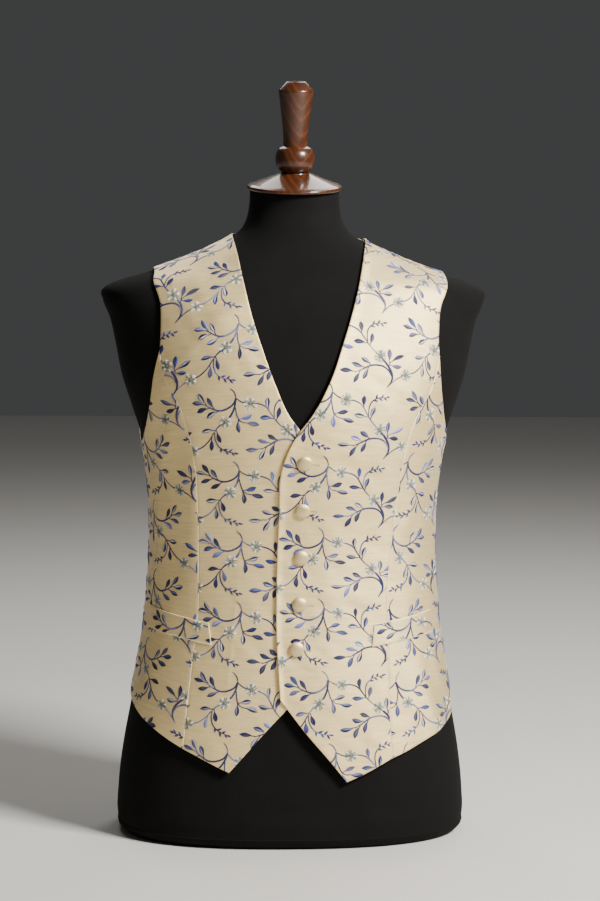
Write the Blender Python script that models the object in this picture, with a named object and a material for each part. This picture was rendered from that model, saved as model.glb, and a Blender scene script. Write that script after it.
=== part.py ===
"""Waistcoat of embroidered silk on a limbless dress form, at its real size.

Metres, +Z up. The form stands on the floor with the centre of its base at the
origin, and the fronts face -Y, so +X is the wearer's left. Every panel starts
as a patch laid on the form's surface, is moved out by the ease and gets its
thickness from there, so neighbouring panels share the points of their seam.
"""

import math

import bpy
import numpy as np

# Cloth: wall of the fronts and of the thinner back, gap at seams and over layers.
FRONT_WALL = 0.0020
BACK_WALL = 0.0012
WELT_WALL = 0.0014
SEAM_GAP = 0.0003
LAP_LIFT = 0.0028

# Where the over front comes down to the under front's level.
LAP_FADE_ACROSS = (0.030, 0.080)
LAP_FADE_HEIGHT = (0.505, 0.600)

# Buttons on the over front: diameter, height of the dome, and where they sit.
BUTTON_DIAMETER = 0.0175
BUTTON_HEIGHT = 0.0050
BUTTONS = (  # across, height
    (0.0065, 0.4580),
    (0.0045, 0.4020),
    (0.0035, 0.3460),
    (0.0020, 0.2910),
    (-0.0010, 0.2390),
)

# The form: height, half width, depth in front, depth behind, squareness of the section.
FORM_SECTIONS = (
    (0.000, 0.1985, 0.1190, 0.119, 2.40),
    (0.006, 0.2060, 0.1265, 0.126, 2.40),
    (0.020, 0.2095, 0.1300, 0.130, 2.40),
    (0.050, 0.2090, 0.1300, 0.131, 2.40),
    (0.100, 0.2035, 0.1285, 0.132, 2.40),
    (0.150, 0.1945, 0.1265, 0.129, 2.40),
    (0.200, 0.1845, 0.1240, 0.122, 2.40),
    (0.250, 0.1765, 0.1210, 0.113, 2.40),
    (0.300, 0.1715, 0.1185, 0.105, 2.40),
    (0.360, 0.1690, 0.1185, 0.100, 2.40),
    (0.420, 0.1710, 0.1240, 0.106, 2.40),
    (0.470, 0.1790, 0.1300, 0.114, 2.40),
    (0.510, 0.1920, 0.1330, 0.120, 2.35),
    (0.550, 0.2050, 0.1320, 0.123, 2.30),
    (0.590, 0.2130, 0.1260, 0.122, 2.25),
    (0.620, 0.2200, 0.1170, 0.118, 2.20),
    (0.640, 0.2280, 0.1060, 0.112, 2.15),
    (0.652, 0.2290, 0.0980, 0.107, 2.10),
    (0.662, 0.2120, 0.0900, 0.102, 2.10),
    (0.672, 0.1780, 0.0815, 0.096, 2.10),
    (0.682, 0.1480, 0.0730, 0.089, 2.10),
    (0.692, 0.1220, 0.0660, 0.082, 2.10),
    (0.702, 0.0990, 0.0600, 0.076, 2.05),
    (0.712, 0.0800, 0.0560, 0.070, 2.00),
    (0.722, 0.0660, 0.0530, 0.065, 2.00),
    (0.735, 0.0580, 0.0500, 0.060, 2.00),
    (0.750, 0.0545, 0.0480, 0.056, 2.00),
    (0.772, 0.0530, 0.0500, 0.053, 2.00),
)
NECK_TOP = 0.772
NECK_BEND = 0.725
NECK_LEAN = math.radians(8.0)

# Ease between the form and the cloth: height, in front, at the sides, behind.
EASE = (
    (0.080, 0.0045, 0.0030, 0.0040),
    (0.170, 0.0040, 0.0030, 0.0040),
    (0.250, 0.0030, 0.0022, 0.0050),
    (0.360, 0.0030, 0.0020, 0.0052),
    (0.450, 0.0026, 0.0022, 0.0032),
    (0.550, 0.0022, 0.0019, 0.0022),
    (0.620, 0.0016, 0.0014, 0.0016),
    (0.670, 0.0013, 0.0012, 0.0013),
    (0.720, 0.0012, 0.0012, 0.0012),
)

# Largest soft ridges: turn in degrees, height, lean in degrees, half length, half width, lift.
SOFT_RIDGES = (
    (-50.0, 0.405, 4.0, 0.075, 0.012, 0.0018),
    (-71.0, 0.375, -6.0, 0.060, 0.013, 0.0022),
    (62.0, 0.150, -10.0, 0.050, 0.014, 0.0022),
    (74.0, 0.330, 5.0, 0.080, 0.013, 0.0016),
    (150.0, 0.330, 62.0, 0.055, 0.012, 0.0026),
    (-152.0, 0.345, -66.0, 0.050, 0.011, 0.0024),
    (172.0, 0.300, 78.0, 0.045, 0.010, 0.0020),
    (128.0, 0.190, 12.0, 0.055, 0.015, 0.0022),
    (-131.0, 0.200, -9.0, 0.060, 0.015, 0.0020),
)

# Front view of the over front, wearer's left: across, height.
OVER_EDGE = (
    (-0.0200, 0.180),
    (-0.0245, 0.260),
    (-0.0245, 0.320),
    (-0.0225, 0.396),
    (-0.0195, 0.452),
    (-0.0110, 0.476),
    (0.0020, 0.497),
    (0.0128, 0.511),
    (0.0335, 0.549),
    (0.0520, 0.601),
    (0.0688, 0.654),
    (0.0785, 0.694),
)
OVER_TIP = (0.0580, 0.0820)
OVER_HEM = ((0.0370, 0.1085), (0.0100, 0.1405))
OVER_HEM_OUTER = ((0.0765, 0.0895),)
LEFT_SEAM = (
    (0.1110, 0.1070),
    (0.1080, 0.165),
    (0.1060, 0.221),
    (0.1040, 0.290),
    (0.1080, 0.354),
    (0.1140, 0.407),
    (0.1200, 0.450),
    (0.1320, 0.500),
    (0.1550, 0.545),
)
LEFT_SIDE_HEM = ((0.1300, 0.1145), (0.1485, 0.1230), (0.1730, 0.1355), (0.1845, 0.1460))

# Front view of the under front, wearer's right: across, height.
UNDER_EDGE = (
    (0.0200, 0.203),
    (0.0245, 0.260),
    (0.0245, 0.320),
    (0.0225, 0.396),
    (0.0205, 0.445),
    (0.0130, 0.470),
    (0.0010, 0.495),
    (-0.0110, 0.511),
    (-0.0280, 0.548),
    (-0.0426, 0.588),
    (-0.0536, 0.622),
    (-0.0628, 0.661),
    (-0.0690, 0.694),
)
UNDER_TIP = (-0.0780, 0.0930)
UNDER_HEM = ((-0.0600, 0.1140), (-0.0350, 0.1430), (-0.0110, 0.1690))
UNDER_HEM_OUTER = ((-0.0900, 0.0985), (-0.1135, 0.1100))
RIGHT_SEAM = (
    (-0.1305, 0.1180),
    (-0.1260, 0.164),
    (-0.1205, 0.215),
    (-0.1140, 0.272),
    (-0.1130, 0.340),
    (-0.1138, 0.402),
    (-0.1195, 0.467),
    (-0.1350, 0.519),
    (-0.1560, 0.563),
)
RIGHT_SIDE_HEM = ((-0.1480, 0.1275), (-0.1640, 0.1375), (-0.1860, 0.1580))

# Armholes, side seams and shoulders, by the turn from the front in degrees and the height.
# Each armhole starts at the seam of the side panel and runs up to the shoulder's end.
LEFT_ARMHOLE = ((61.5, 0.5790), (62.2, 0.606), (65.0, 0.635), (71.0, 0.656), (79.0, 0.668), (93.0, 0.6720))
RIGHT_ARMHOLE = ((60.1, 0.5850), (60.8, 0.612), (63.6, 0.640), (70.0, 0.660), (78.0, 0.671), (93.0, 0.6752))
LEFT_ARMHOLE_UNDER = ((62.6, 0.546), (68.0, 0.507), (75.5, 0.484))
RIGHT_ARMHOLE_UNDER = ((61.6, 0.561), (64.8, 0.525), (71.4, 0.492), (78.0, 0.477))
LEFT_SIDE_SEAM = ((77.5, 0.1565), (81.0, 0.200), (85.0, 0.260), (88.0, 0.360), (90.0, 0.4685))
RIGHT_SIDE_SEAM = ((84.0, 0.1685), (86.0, 0.220), (87.0, 0.280), (88.0, 0.360), (88.0, 0.4685))
LEFT_SHOULDER = ((95.0, 0.7110), (94.5, 0.697), (94.0, 0.684))
RIGHT_SHOULDER = ((95.0, 0.7175), (94.5, 0.702), (94.0, 0.688))

# Back pieces, the same tables for both. The armhole by the turn in degrees and how far it is
# below the shoulder's end, the neck by turn and height, the centre seam by height.
BACK_ARMHOLE = (
    (102.0, 0.182),
    (112.0, 0.150),
    (117.5, 0.112),
    (119.0, 0.072),
    (116.5, 0.038),
    (111.5, 0.017),
    (104.0, 0.006),
)
BACK_NECK = ((118.0, 0.716), (145.0, 0.7155))
BACK_CENTRE = (0.168, 0.240, 0.330, 0.420, 0.480, 0.560, 0.640, 0.680, 0.715)
BACK_HEM_DIP = 0.004

# Grid of each panel: rows up the seam and the armhole, columns across. The stops say
# which row a point of an edge's table falls on, so rows are closer over the shoulders.
SEAM_ROWS = 16
FRONT_ROWS = SEAM_ROWS + 12
BACK_ROWS = SEAM_ROWS + 16
OVER_STOPS = ((0, 0), (6, 13), (9, 18), (12, FRONT_ROWS))
UNDER_STOPS = ((0, 0), (6, 13), (9, 17), (13, FRONT_ROWS))
FRONT_ARMHOLE_STOPS = ((0, 0), (2, 4), (5, FRONT_ROWS - SEAM_ROWS))
BACK_CENTRE_STOPS = ((0, 0), (4, SEAM_ROWS), (6, 22), (8, BACK_ROWS))
BACK_ARMHOLE_STOPS = ((0, 0), (4, 8), (8, BACK_ROWS - SEAM_ROWS))
TIP_COLUMN = 4
FRONT_COLUMNS = 8
SIDE_COLUMNS = 6
NECK_COLUMNS = 6
SHOULDER_COLUMNS = FRONT_COLUMNS

# Welts: the four corners in the front view, inner top, outer top, inner bottom, outer bottom.
LEFT_WELT = ((0.0890, 0.2655), (0.1560, 0.2755), (0.0870, 0.2400), (0.1600, 0.2500))
RIGHT_WELT = ((-0.1010, 0.2665), (-0.1670, 0.2790), (-0.0980, 0.2420), (-0.1700, 0.2540))
WELT_GRID = (8, 2)

# Turned wood on the neck: radius, height over the neck's top.
CAP_PROFILE = (
    (0.0560, 0.0000),
    (0.0570, 0.0012),
    (0.0570, 0.0042),
    (0.0555, 0.0056),
    (0.0400, 0.0112),
    (0.0250, 0.0168),
    (0.0190, 0.0192),
    (0.0172, 0.0205),
)
FINIAL_NECK = ((0.0152, 0.0208), (0.0157, 0.0218))
KNOB_CENTRE = (0.0155, 0.0362)
KNOB_BULGE = (0.0080, 0.0146)
FINIAL_COLUMN = ((0.0131, 0.0520), (0.0146, 0.0650), (0.0208, 0.1160), (0.0200, 0.1188), (0.0112, 0.1277))
KNOB_STEPS = 7
WOOD_SIDES = 24
CAP_SIDES = 32
FORM_SIDES = 32
FORM_RING_STEP = 0.032
SHOULDER_RING_STEP = 0.0072
SHOULDER_START = 0.632

IVORY_SILK = ((0.78, 0.68, 0.50), 0.50)
BACK_SILK = ((0.74, 0.65, 0.49), 0.38)
BLACK_JERSEY = ((0.012, 0.012, 0.013), 0.90)
DARK_WOOD = ((0.060, 0.018, 0.010), 0.18)


def clear_scene():
    """Remove every object that the file starts with."""
    for thing in list(bpy.data.objects):
        bpy.data.objects.remove(thing, do_unlink=True)


def make_material(name, look):
    """Return a Principled material from a colour and a roughness."""
    colour, roughness = look
    material = bpy.data.materials.new(name)
    material.use_nodes = True
    shader = material.node_tree.nodes["Principled BSDF"]
    shader.inputs["Base Color"].default_value = (*colour, 1.0)
    shader.inputs["Roughness"].default_value = roughness
    shader.inputs["Metallic"].default_value = 0.0
    return material


def fade(value, start, end):
    """Return 0 before start and 1 after end, with a smooth rise between."""
    part = np.clip((value - start) / (end - start), 0.0, 1.0)
    return part * part * (3.0 - 2.0 * part)


class Figure:
    """The form's surface: rounded sections stacked up, smooth between them."""

    def __init__(self, sections, step=0.001):
        table = np.array(sections)
        self.heights = np.arange(table[0, 0], table[-1, 0] + step / 2, step)
        self.columns = [self.smooth(table[:, 0], table[:, k]) for k in range(1, 5)]

    def smooth(self, knots, values):
        """Read a cubic through the table's rows at every height."""
        slopes = np.gradient(values, knots)
        row = np.clip(np.searchsorted(knots, self.heights, side="right") - 1, 0, len(knots) - 2)
        span = knots[row + 1] - knots[row]
        t = (self.heights - knots[row]) / span
        start = (2 * t**3 - 3 * t**2 + 1) * values[row] + (t**3 - 2 * t**2 + t) * span * slopes[row]
        return start + (3 * t**2 - 2 * t**3) * values[row + 1] + (t**3 - t**2) * span * slopes[row + 1]

    def section(self, height):
        """Return half width, front depth, back depth and squareness at a height."""
        return [np.interp(height, self.heights, column) for column in self.columns]

    def level(self, points):
        """Return how far out each point is: 0 on the surface, more outside."""
        x, y, z = np.moveaxis(points, -1, 0)
        width, front, back, power = self.section(z)
        depth = np.where(y < 0, front, back)
        return (np.abs(x / width) ** power + np.abs(y / depth) ** power) ** (1.0 / power) - 1.0

    def slope(self, points, reach=0.0002):
        """Return the gradient of the level."""
        parts = []
        for axis in range(3):
            step = np.zeros(3)
            step[axis] = reach
            parts.append((self.level(points + step) - self.level(points - step)) / (2 * reach))
        return np.stack(parts, -1)

    def normal(self, points):
        """Return the outward unit normal at each point."""
        slope = self.slope(points)
        return slope / np.linalg.norm(slope, axis=-1, keepdims=True)

    def seat(self, points, passes=40, reach=0.005):
        """Move points square to the surface until they lie on it."""
        for _ in range(passes):
            slope = self.slope(points)
            move = self.level(points)[..., None] * slope / (slope**2).sum(-1, keepdims=True)
            length = np.linalg.norm(move, axis=-1, keepdims=True)
            points = points - move * np.minimum(1.0, reach / np.maximum(length, 1e-9))
        return points

    def front_point(self, across, height):
        """Return the point of the front seen at this place in the front view."""
        width, front, _, power = self.section(height)
        return np.array([across, -front * (1 - abs(across / width) ** power) ** (1 / power), height])

    def turned_point(self, turn, height):
        """Return the point at a turn from the front, in degrees, and a height."""
        width, front, back, power = self.section(height)
        x, y = math.sin(math.radians(turn)), -math.cos(math.radians(turn))
        depth = front if y < 0 else back
        radius = (abs(x / width) ** power + abs(y / depth) ** power) ** (-1 / power)
        return np.array([x * radius, y * radius, height])

    def front_points(self, rows):
        """Return the points of a front-view table."""
        return [self.front_point(*row) for row in rows]

    def turned_points(self, rows, side=1):
        """Return the points of a table of turns, on the left (1) or right (-1)."""
        return [self.turned_point(side * turn, height) for turn, height in rows]


def smooth_run(points, stops, fine=24):
    """Sample a smooth line through points, evenly between its stops.

    stops pairs a point's place in the list with its place in the result.
    """
    points = np.asarray(points)
    knots = np.concatenate([[0.0], np.cumsum(np.linalg.norm(np.diff(points, axis=0), axis=1))])
    slopes = np.gradient(points, knots, axis=0)
    line = [points[:1]]
    for k in range(len(points) - 1):
        span = knots[k + 1] - knots[k]
        t = (np.arange(1, fine + 1) / fine)[:, None]
        start = (2 * t**3 - 3 * t**2 + 1) * points[k] + (t**3 - 2 * t**2 + t) * span * slopes[k]
        line.append(start + (3 * t**2 - 2 * t**3) * points[k + 1] + (t**3 - t**2) * span * slopes[k + 1])
    line = np.concatenate(line)
    travel = np.concatenate([[0.0], np.cumsum(np.linalg.norm(np.diff(line, axis=0), axis=1))])
    wanted = np.interp(np.arange(stops[-1][1] + 1), [b for _, b in stops], [travel[a * fine] for a, _ in stops])
    return np.stack([np.interp(wanted, travel, line[:, k]) for k in range(3)], -1)


def even_run(points, steps):
    """Sample a smooth line through points in equal steps."""
    return smooth_run(points, ((0, 0), (len(points) - 1, steps)))


def join_runs(*runs):
    """Join runs that end and start at the same point."""
    return np.concatenate([runs[0]] + [run[1:] for run in runs[1:]])


def patch(figure, inner, outer, bottom, top):
    """Fill four edges with a smooth grid on the figure; rows go up, columns across."""
    inner, outer, bottom, top = [figure.seat(edge) for edge in (inner, outer, bottom, top)]
    v = np.linspace(0, 1, len(inner))[:, None, None]
    u = np.linspace(0, 1, len(bottom))[None, :, None]
    across = (1 - u) * inner[:, None] + u * outer[:, None]
    upward = (1 - v) * bottom[None] + v * top[None]
    corners = (1 - u) * ((1 - v) * inner[0] + v * inner[-1]) + u * ((1 - v) * outer[0] + v * outer[-1])
    return figure.seat(across + upward - corners)


def ease_at(points):
    """Return the room between the form and the cloth."""
    table = np.array(EASE)
    front, side, back = [np.interp(points[..., 2], table[:, 0], table[:, k]) for k in (1, 2, 3)]
    facing = -points[..., 1] / np.maximum(np.hypot(points[..., 0], points[..., 1]), 1e-6)
    return side + (front - side) * fade(facing, 0.1, 0.9) + (back - side) * fade(-facing, 0.1, 0.9)


def ridges_at(points):
    """Return the lift of the soft ridges."""
    turn = np.arctan2(points[..., 0], -points[..., 1])
    reach = np.hypot(points[..., 0], points[..., 1])
    lift = np.zeros(turn.shape)
    for degrees, height, lean, half_length, half_width, rise in SOFT_RIDGES:
        away = (turn - math.radians(degrees) + math.pi) % (2 * math.pi) - math.pi
        across, up = away * reach, points[..., 2] - height
        lean = math.radians(lean)
        along = across * math.sin(lean) + up * math.cos(lean)
        beside = across * math.cos(lean) - up * math.sin(lean)
        lift += rise * np.exp(-((along / half_length) ** 2) - (beside / half_width) ** 2)
    return lift


def lap_at(points):
    """Return how much the over front rises to clear the under front."""
    across = 1 - fade(points[..., 0], *LAP_FADE_ACROSS)
    return LAP_LIFT * across * (1 - fade(points[..., 2], *LAP_FADE_HEIGHT))


def cloth_at(points):
    """Return the height of the cloth's inner face over the form."""
    return ease_at(points) + ridges_at(points)


def part_seams(grid, seams):
    """Draw the named edges in by half of the seam gap."""
    grid = grid.copy()
    edges = {
        "inner": (grid[:, 0], grid[:, 1]),
        "outer": (grid[:, -1], grid[:, -2]),
        "bottom": (grid[0], grid[1]),
        "top": (grid[-1], grid[-2]),
    }
    for seam in seams:
        edge, beside = edges[seam]
        inward = beside - edge
        edge += inward / np.linalg.norm(inward, axis=-1, keepdims=True) * SEAM_GAP / 2
    return grid


def make_object(name, vertices, faces, material, smooth_angle=35.0):
    """Make a mesh object, shaded smooth up to an angle in degrees."""
    mesh = bpy.data.meshes.new(name)
    mesh.from_pydata([tuple(point) for point in vertices], [], faces)
    mesh.shade_smooth()
    mesh.set_sharp_from_angle(angle=math.radians(smooth_angle))
    mesh.materials.append(material)
    thing = bpy.data.objects.new(name, mesh)
    bpy.context.collection.objects.link(thing)
    return thing


def wall(name, figure, grid, lift, thickness, material):
    """Make a panel's closed wall: its grid moved out by lift, and by its thickness more."""
    rows, columns = grid.shape[:2]
    normals = figure.normal(grid)
    inside = grid + normals * lift[..., None]
    outside = inside + normals * thickness
    across, upward = grid[1, 2] - grid[1, 1], grid[2, 1] - grid[1, 1]
    faces_out = np.dot(np.cross(across, upward), normals[1, 1]) > 0
    shift = rows * columns
    faces = []
    for i in range(rows - 1):
        for j in range(columns - 1):
            a = i * columns + j
            quad = (a, a + 1, a + columns + 1, a + columns)
            faces.append(tuple(shift + k for k in quad))
            faces.append(quad[::-1])
    rim = [j for j in range(columns)]
    rim += [i * columns + columns - 1 for i in range(1, rows)]
    rim += [(rows - 1) * columns + j for j in range(columns - 2, -1, -1)]
    rim += [i * columns for i in range(rows - 2, 0, -1)]
    for a, b in zip(rim, rim[1:] + rim[:1]):
        faces.append((a, b, shift + b, shift + a))
    if not faces_out:
        faces = [face[::-1] for face in faces]
    vertices = np.concatenate([inside.reshape(-1, 3), outside.reshape(-1, 3)])
    return make_object(name, vertices, faces, material)


def centre_front(figure, edge, stops, hem, tip, outer_hem, seam, armhole, shoulder, side):
    """Return the grid of a centre front.

    edge runs up the front edge and the V, its rows placed by stops, and hem, tip
    and outer_hem run from the front corner to the seam.
    """
    neck = figure.turned_points(shoulder[:1], side)
    start = figure.turned_points(armhole[:1], side)
    front_edge = figure.front_points(edge) + neck
    inner = smooth_run(front_edge, stops)
    seam_points = figure.front_points(seam) + start
    rise = even_run(seam_points, SEAM_ROWS)
    hole = smooth_run(figure.turned_points(armhole, side), FRONT_ARMHOLE_STOPS)
    hem_points = [front_edge[0]] + figure.front_points(hem) + figure.front_points([tip])
    hem_outer = figure.front_points([tip]) + figure.front_points(outer_hem) + seam_points[:1]
    bottom = join_runs(even_run(hem_points, TIP_COLUMN), even_run(hem_outer, FRONT_COLUMNS - TIP_COLUMN))
    top = even_run(figure.turned_points(tuple(shoulder) + armhole[-1:], side), SHOULDER_COLUMNS)
    return patch(figure, inner, join_runs(rise, hole), bottom, top)


def side_front(figure, seam, hem, side_seam, armhole, under, side):
    """Return the grid of a side front, from the princess seam to the side seam."""
    start = figure.turned_points(armhole[:1], side)
    seam_points = figure.front_points(seam) + start
    outer_points = figure.turned_points(side_seam, side)
    bottom = even_run(seam_points[:1] + figure.front_points(hem) + outer_points[:1], SIDE_COLUMNS)
    top = even_run(start + figure.turned_points(under, side) + outer_points[-1:], SIDE_COLUMNS)
    return patch(figure, even_run(seam_points, SEAM_ROWS), even_run(outer_points, SEAM_ROWS), bottom, top)


def back_piece(figure, side_seam, shoulder, armhole_end, side):
    """Return the grid of a back piece, from the centre back to the side seam."""
    centre = [figure.turned_point(180.0, height) for height in BACK_CENTRE]
    inner = smooth_run(centre, BACK_CENTRE_STOPS)
    seam_points = figure.turned_points(side_seam, side)
    end = figure.turned_points([armhole_end], side)
    hole_rows = [(turn, armhole_end[1] - drop) for turn, drop in BACK_ARMHOLE]
    hole = smooth_run(seam_points[-1:] + figure.turned_points(hole_rows, side) + end, BACK_ARMHOLE_STOPS)
    turn = (180.0 + side_seam[0][0]) / 2
    middle = figure.turned_point(side * turn, (centre[0][2] + side_seam[0][1]) / 2 - BACK_HEM_DIP)
    bottom = even_run([centre[0], middle, seam_points[0]], NECK_COLUMNS + SHOULDER_COLUMNS)
    neck_end = figure.turned_points(shoulder[:1], side)
    neck = [centre[-1]] + figure.turned_points(BACK_NECK[::-1], side) + neck_end
    ridge = figure.turned_points(tuple(shoulder), side) + end
    top = join_runs(even_run(neck, NECK_COLUMNS), even_run(ridge, SHOULDER_COLUMNS))
    return patch(figure, inner, join_runs(even_run(seam_points, SEAM_ROWS), hole), bottom, top)


def welt(figure, corners):
    """Return the grid of a welt from its four corners in the front view."""
    inner_top, outer_top, inner_low, outer_low = figure.front_points(corners)
    columns, rows = WELT_GRID
    middle_top, middle_low = (inner_top + outer_top) / 2, (inner_low + outer_low) / 2
    middle_top, middle_low = figure.seat(np.array([middle_top, middle_low]))
    top = even_run([inner_top, middle_top, outer_top], columns)
    bottom = even_run([inner_low, middle_low, outer_low], columns)
    inner = even_run([inner_low, inner_top], rows)
    outer = even_run([outer_low, outer_top], rows)
    return patch(figure, inner, outer, bottom, top)


def make_button(name, figure, place, material, rings=4, sides=16):
    """Make a domed button that sits square on the over front."""
    seat = figure.seat(figure.front_point(*place)[None])
    normal = figure.normal(seat)[0]
    lift = cloth_at(seat)[0] + lap_at(seat)[0] + FRONT_WALL + SEAM_GAP
    across = np.cross((0.0, 0.0, 1.0), normal)
    across /= np.linalg.norm(across)
    upward = np.cross(normal, across)
    radius = BUTTON_DIAMETER / 2
    profile = [(0.86 * radius, 0.0)]
    for k in range(rings):
        angle = math.radians(-8.0) + math.radians(78.0) * k / (rings - 1)
        profile.append((radius * math.cos(angle), BUTTON_HEIGHT * (0.3 + 0.7 * math.sin(angle))))
    vertices = []
    for reach, rise in profile:
        for k in range(sides):
            angle = 2 * math.pi * k / sides
            flat = across * math.cos(angle) + upward * math.sin(angle)
            vertices.append(seat[0] + flat * reach + normal * (lift + rise))
    return make_object(name, vertices, ring_faces(len(profile), sides), material)


def ring_faces(rings, sides):
    """Return the faces of stacked rings with a flat face at each end."""
    faces = [tuple(range(sides))[::-1], tuple((rings - 1) * sides + k for k in range(sides))]
    for i in range(rings - 1):
        for k in range(sides):
            beside = (k + 1) % sides
            faces.append((i * sides + k, i * sides + beside, (i + 1) * sides + beside, (i + 1) * sides + k))
    return faces


def form_heights():
    """Return the heights of the form's rings, close together over the shoulders."""
    foot = [row[0] for row in FORM_SECTIONS[:3]]
    steps = round((SHOULDER_START - foot[-1]) / FORM_RING_STEP)
    body = np.linspace(foot[-1], SHOULDER_START, steps + 1)[1:]
    steps = round((NECK_BEND - SHOULDER_START) / SHOULDER_RING_STEP)
    shoulders = np.linspace(SHOULDER_START, NECK_BEND, steps + 1)[1:]
    return np.concatenate([foot, body, shoulders, np.linspace(NECK_BEND, NECK_TOP, 5)[1:]])


def make_form(figure, material):
    """Make the form's body with its neck leaning forward at the top."""
    vertices = []
    for height in form_heights():
        width, front, back, power = figure.section(height)
        for k in range(FORM_SIDES):
            angle = 2 * math.pi * (k + 0.5) / FORM_SIDES
            sine, cosine = math.sin(angle), math.cos(angle)
            x = width * math.copysign(abs(cosine) ** (2 / power), cosine)
            y = (front if sine < 0 else back) * math.copysign(abs(sine) ** (2 / power), sine)
            lean = fade(height, NECK_BEND, NECK_TOP) * math.tan(NECK_LEAN)
            vertices.append((x, y, height + y * lean))
    rings = len(vertices) // FORM_SIDES
    return make_object("form_body", vertices, ring_faces(rings, FORM_SIDES), material)


def make_turned(name, profile, sides, material):
    """Turn a profile round the neck's axis, which leans forward."""
    axis = np.array([0.0, -math.sin(NECK_LEAN), math.cos(NECK_LEAN)])
    forward = np.array([0.0, -math.cos(NECK_LEAN), -math.sin(NECK_LEAN)])
    base = np.array([0.0, 0.0, NECK_TOP]) + axis * SEAM_GAP
    vertices = []
    for radius, height in profile:
        for k in range(sides):
            angle = 2 * math.pi * k / sides
            flat = forward * math.sin(angle) - np.array([1.0, 0.0, 0.0]) * math.cos(angle)
            vertices.append(base + flat * radius + axis * height)
    return make_object(name, vertices, ring_faces(len(profile), sides), material)


def finial_profile():
    """Return the finial's profile: its foot, the round knob and the column that widens upward."""
    knob = []
    for k in range(KNOB_STEPS):
        angle = math.radians(-80.0 + 160.0 * k / (KNOB_STEPS - 1))
        radius = KNOB_CENTRE[0] + KNOB_BULGE[0] * math.cos(angle)
        knob.append((radius, KNOB_CENTRE[1] + KNOB_BULGE[1] * math.sin(angle)))
    return list(FINIAL_NECK) + knob + list(FINIAL_COLUMN)


def make_fronts(figure, silk):
    """Make the four front panels and the two welts."""
    over = centre_front(
        figure, OVER_EDGE, OVER_STOPS, OVER_HEM[::-1], OVER_TIP, OVER_HEM_OUTER, LEFT_SEAM, LEFT_ARMHOLE, LEFT_SHOULDER, 1
    )
    under = centre_front(
        figure, UNDER_EDGE, UNDER_STOPS, UNDER_HEM[::-1], UNDER_TIP, UNDER_HEM_OUTER, RIGHT_SEAM, RIGHT_ARMHOLE,
        RIGHT_SHOULDER, -1
    )
    left = side_front(figure, LEFT_SEAM, LEFT_SIDE_HEM, LEFT_SIDE_SEAM, LEFT_ARMHOLE, LEFT_ARMHOLE_UNDER, 1)
    right = side_front(figure, RIGHT_SEAM, RIGHT_SIDE_HEM, RIGHT_SIDE_SEAM, RIGHT_ARMHOLE, RIGHT_ARMHOLE_UNDER, -1)
    lap = lap_at(over)
    wall("front_left_centre", figure, part_seams(over, ("outer", "top")), cloth_at(over) + lap, FRONT_WALL, silk)
    wall("front_right_centre", figure, part_seams(under, ("outer", "top")), cloth_at(under), FRONT_WALL, silk)
    wall("front_left_side", figure, part_seams(left, ("inner", "outer")), cloth_at(left), FRONT_WALL, silk)
    wall("front_right_side", figure, part_seams(right, ("inner", "outer")), cloth_at(right), FRONT_WALL, silk)
    for name, corners in (("welt_left", LEFT_WELT), ("welt_right", RIGHT_WELT)):
        grid = welt(figure, corners)
        wall(name, figure, grid, cloth_at(grid) + FRONT_WALL + SEAM_GAP, WELT_WALL, silk)


def make_back(figure, silk):
    """Make the two back pieces."""
    left = back_piece(figure, LEFT_SIDE_SEAM, LEFT_SHOULDER, LEFT_ARMHOLE[-1], 1)
    right = back_piece(figure, RIGHT_SIDE_SEAM, RIGHT_SHOULDER, RIGHT_ARMHOLE[-1], -1)
    for name, grid in (("back_left", left), ("back_right", right)):
        wall(name, figure, part_seams(grid, ("inner", "outer", "top")), cloth_at(grid), BACK_WALL, silk)


def main():
    """Build the waistcoat and its form."""
    clear_scene()
    figure = Figure(FORM_SECTIONS)
    silk = make_material("ivory_silk", IVORY_SILK)
    wood = make_material("dark_wood", DARK_WOOD)
    make_fronts(figure, silk)
    make_back(figure, make_material("back_silk", BACK_SILK))
    for number, place in enumerate(BUTTONS, start=1):
        make_button(f"button_{number}", figure, place, silk)
    make_form(figure, make_material("black_jersey", BLACK_JERSEY))
    make_turned("neck_cap", CAP_PROFILE, CAP_SIDES, wood)
    make_turned("finial", finial_profile(), WOOD_SIDES, wood)


main()
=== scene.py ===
"""Looks of the embroidered silk waistcoat and the dress form that it stands on.

Metres, +Z up. The fronts face -Y and +X is the wearer's left, as in the frame.
Every panel is a smooth patch on the form's surface, moved out by its ease and
given a wall. It is also unwrapped flat, and the embroidery is charted on that
flat cloth in millimetres and carried back onto the panel, stitch by stitch.
"""

from __future__ import annotations

import logging
import math
import random
from collections.abc import Callable, Iterable, Sequence
from dataclasses import dataclass, field
from enum import Enum
from functools import partial

import bpy
import numpy as np
from bpy.types import ID, Material, Mesh, Node, NodeSocket, NodeTree, Object
from mathutils import Matrix, Vector
from mathutils.bvhtree import BVHTree
from numpy.linalg import norm

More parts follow.
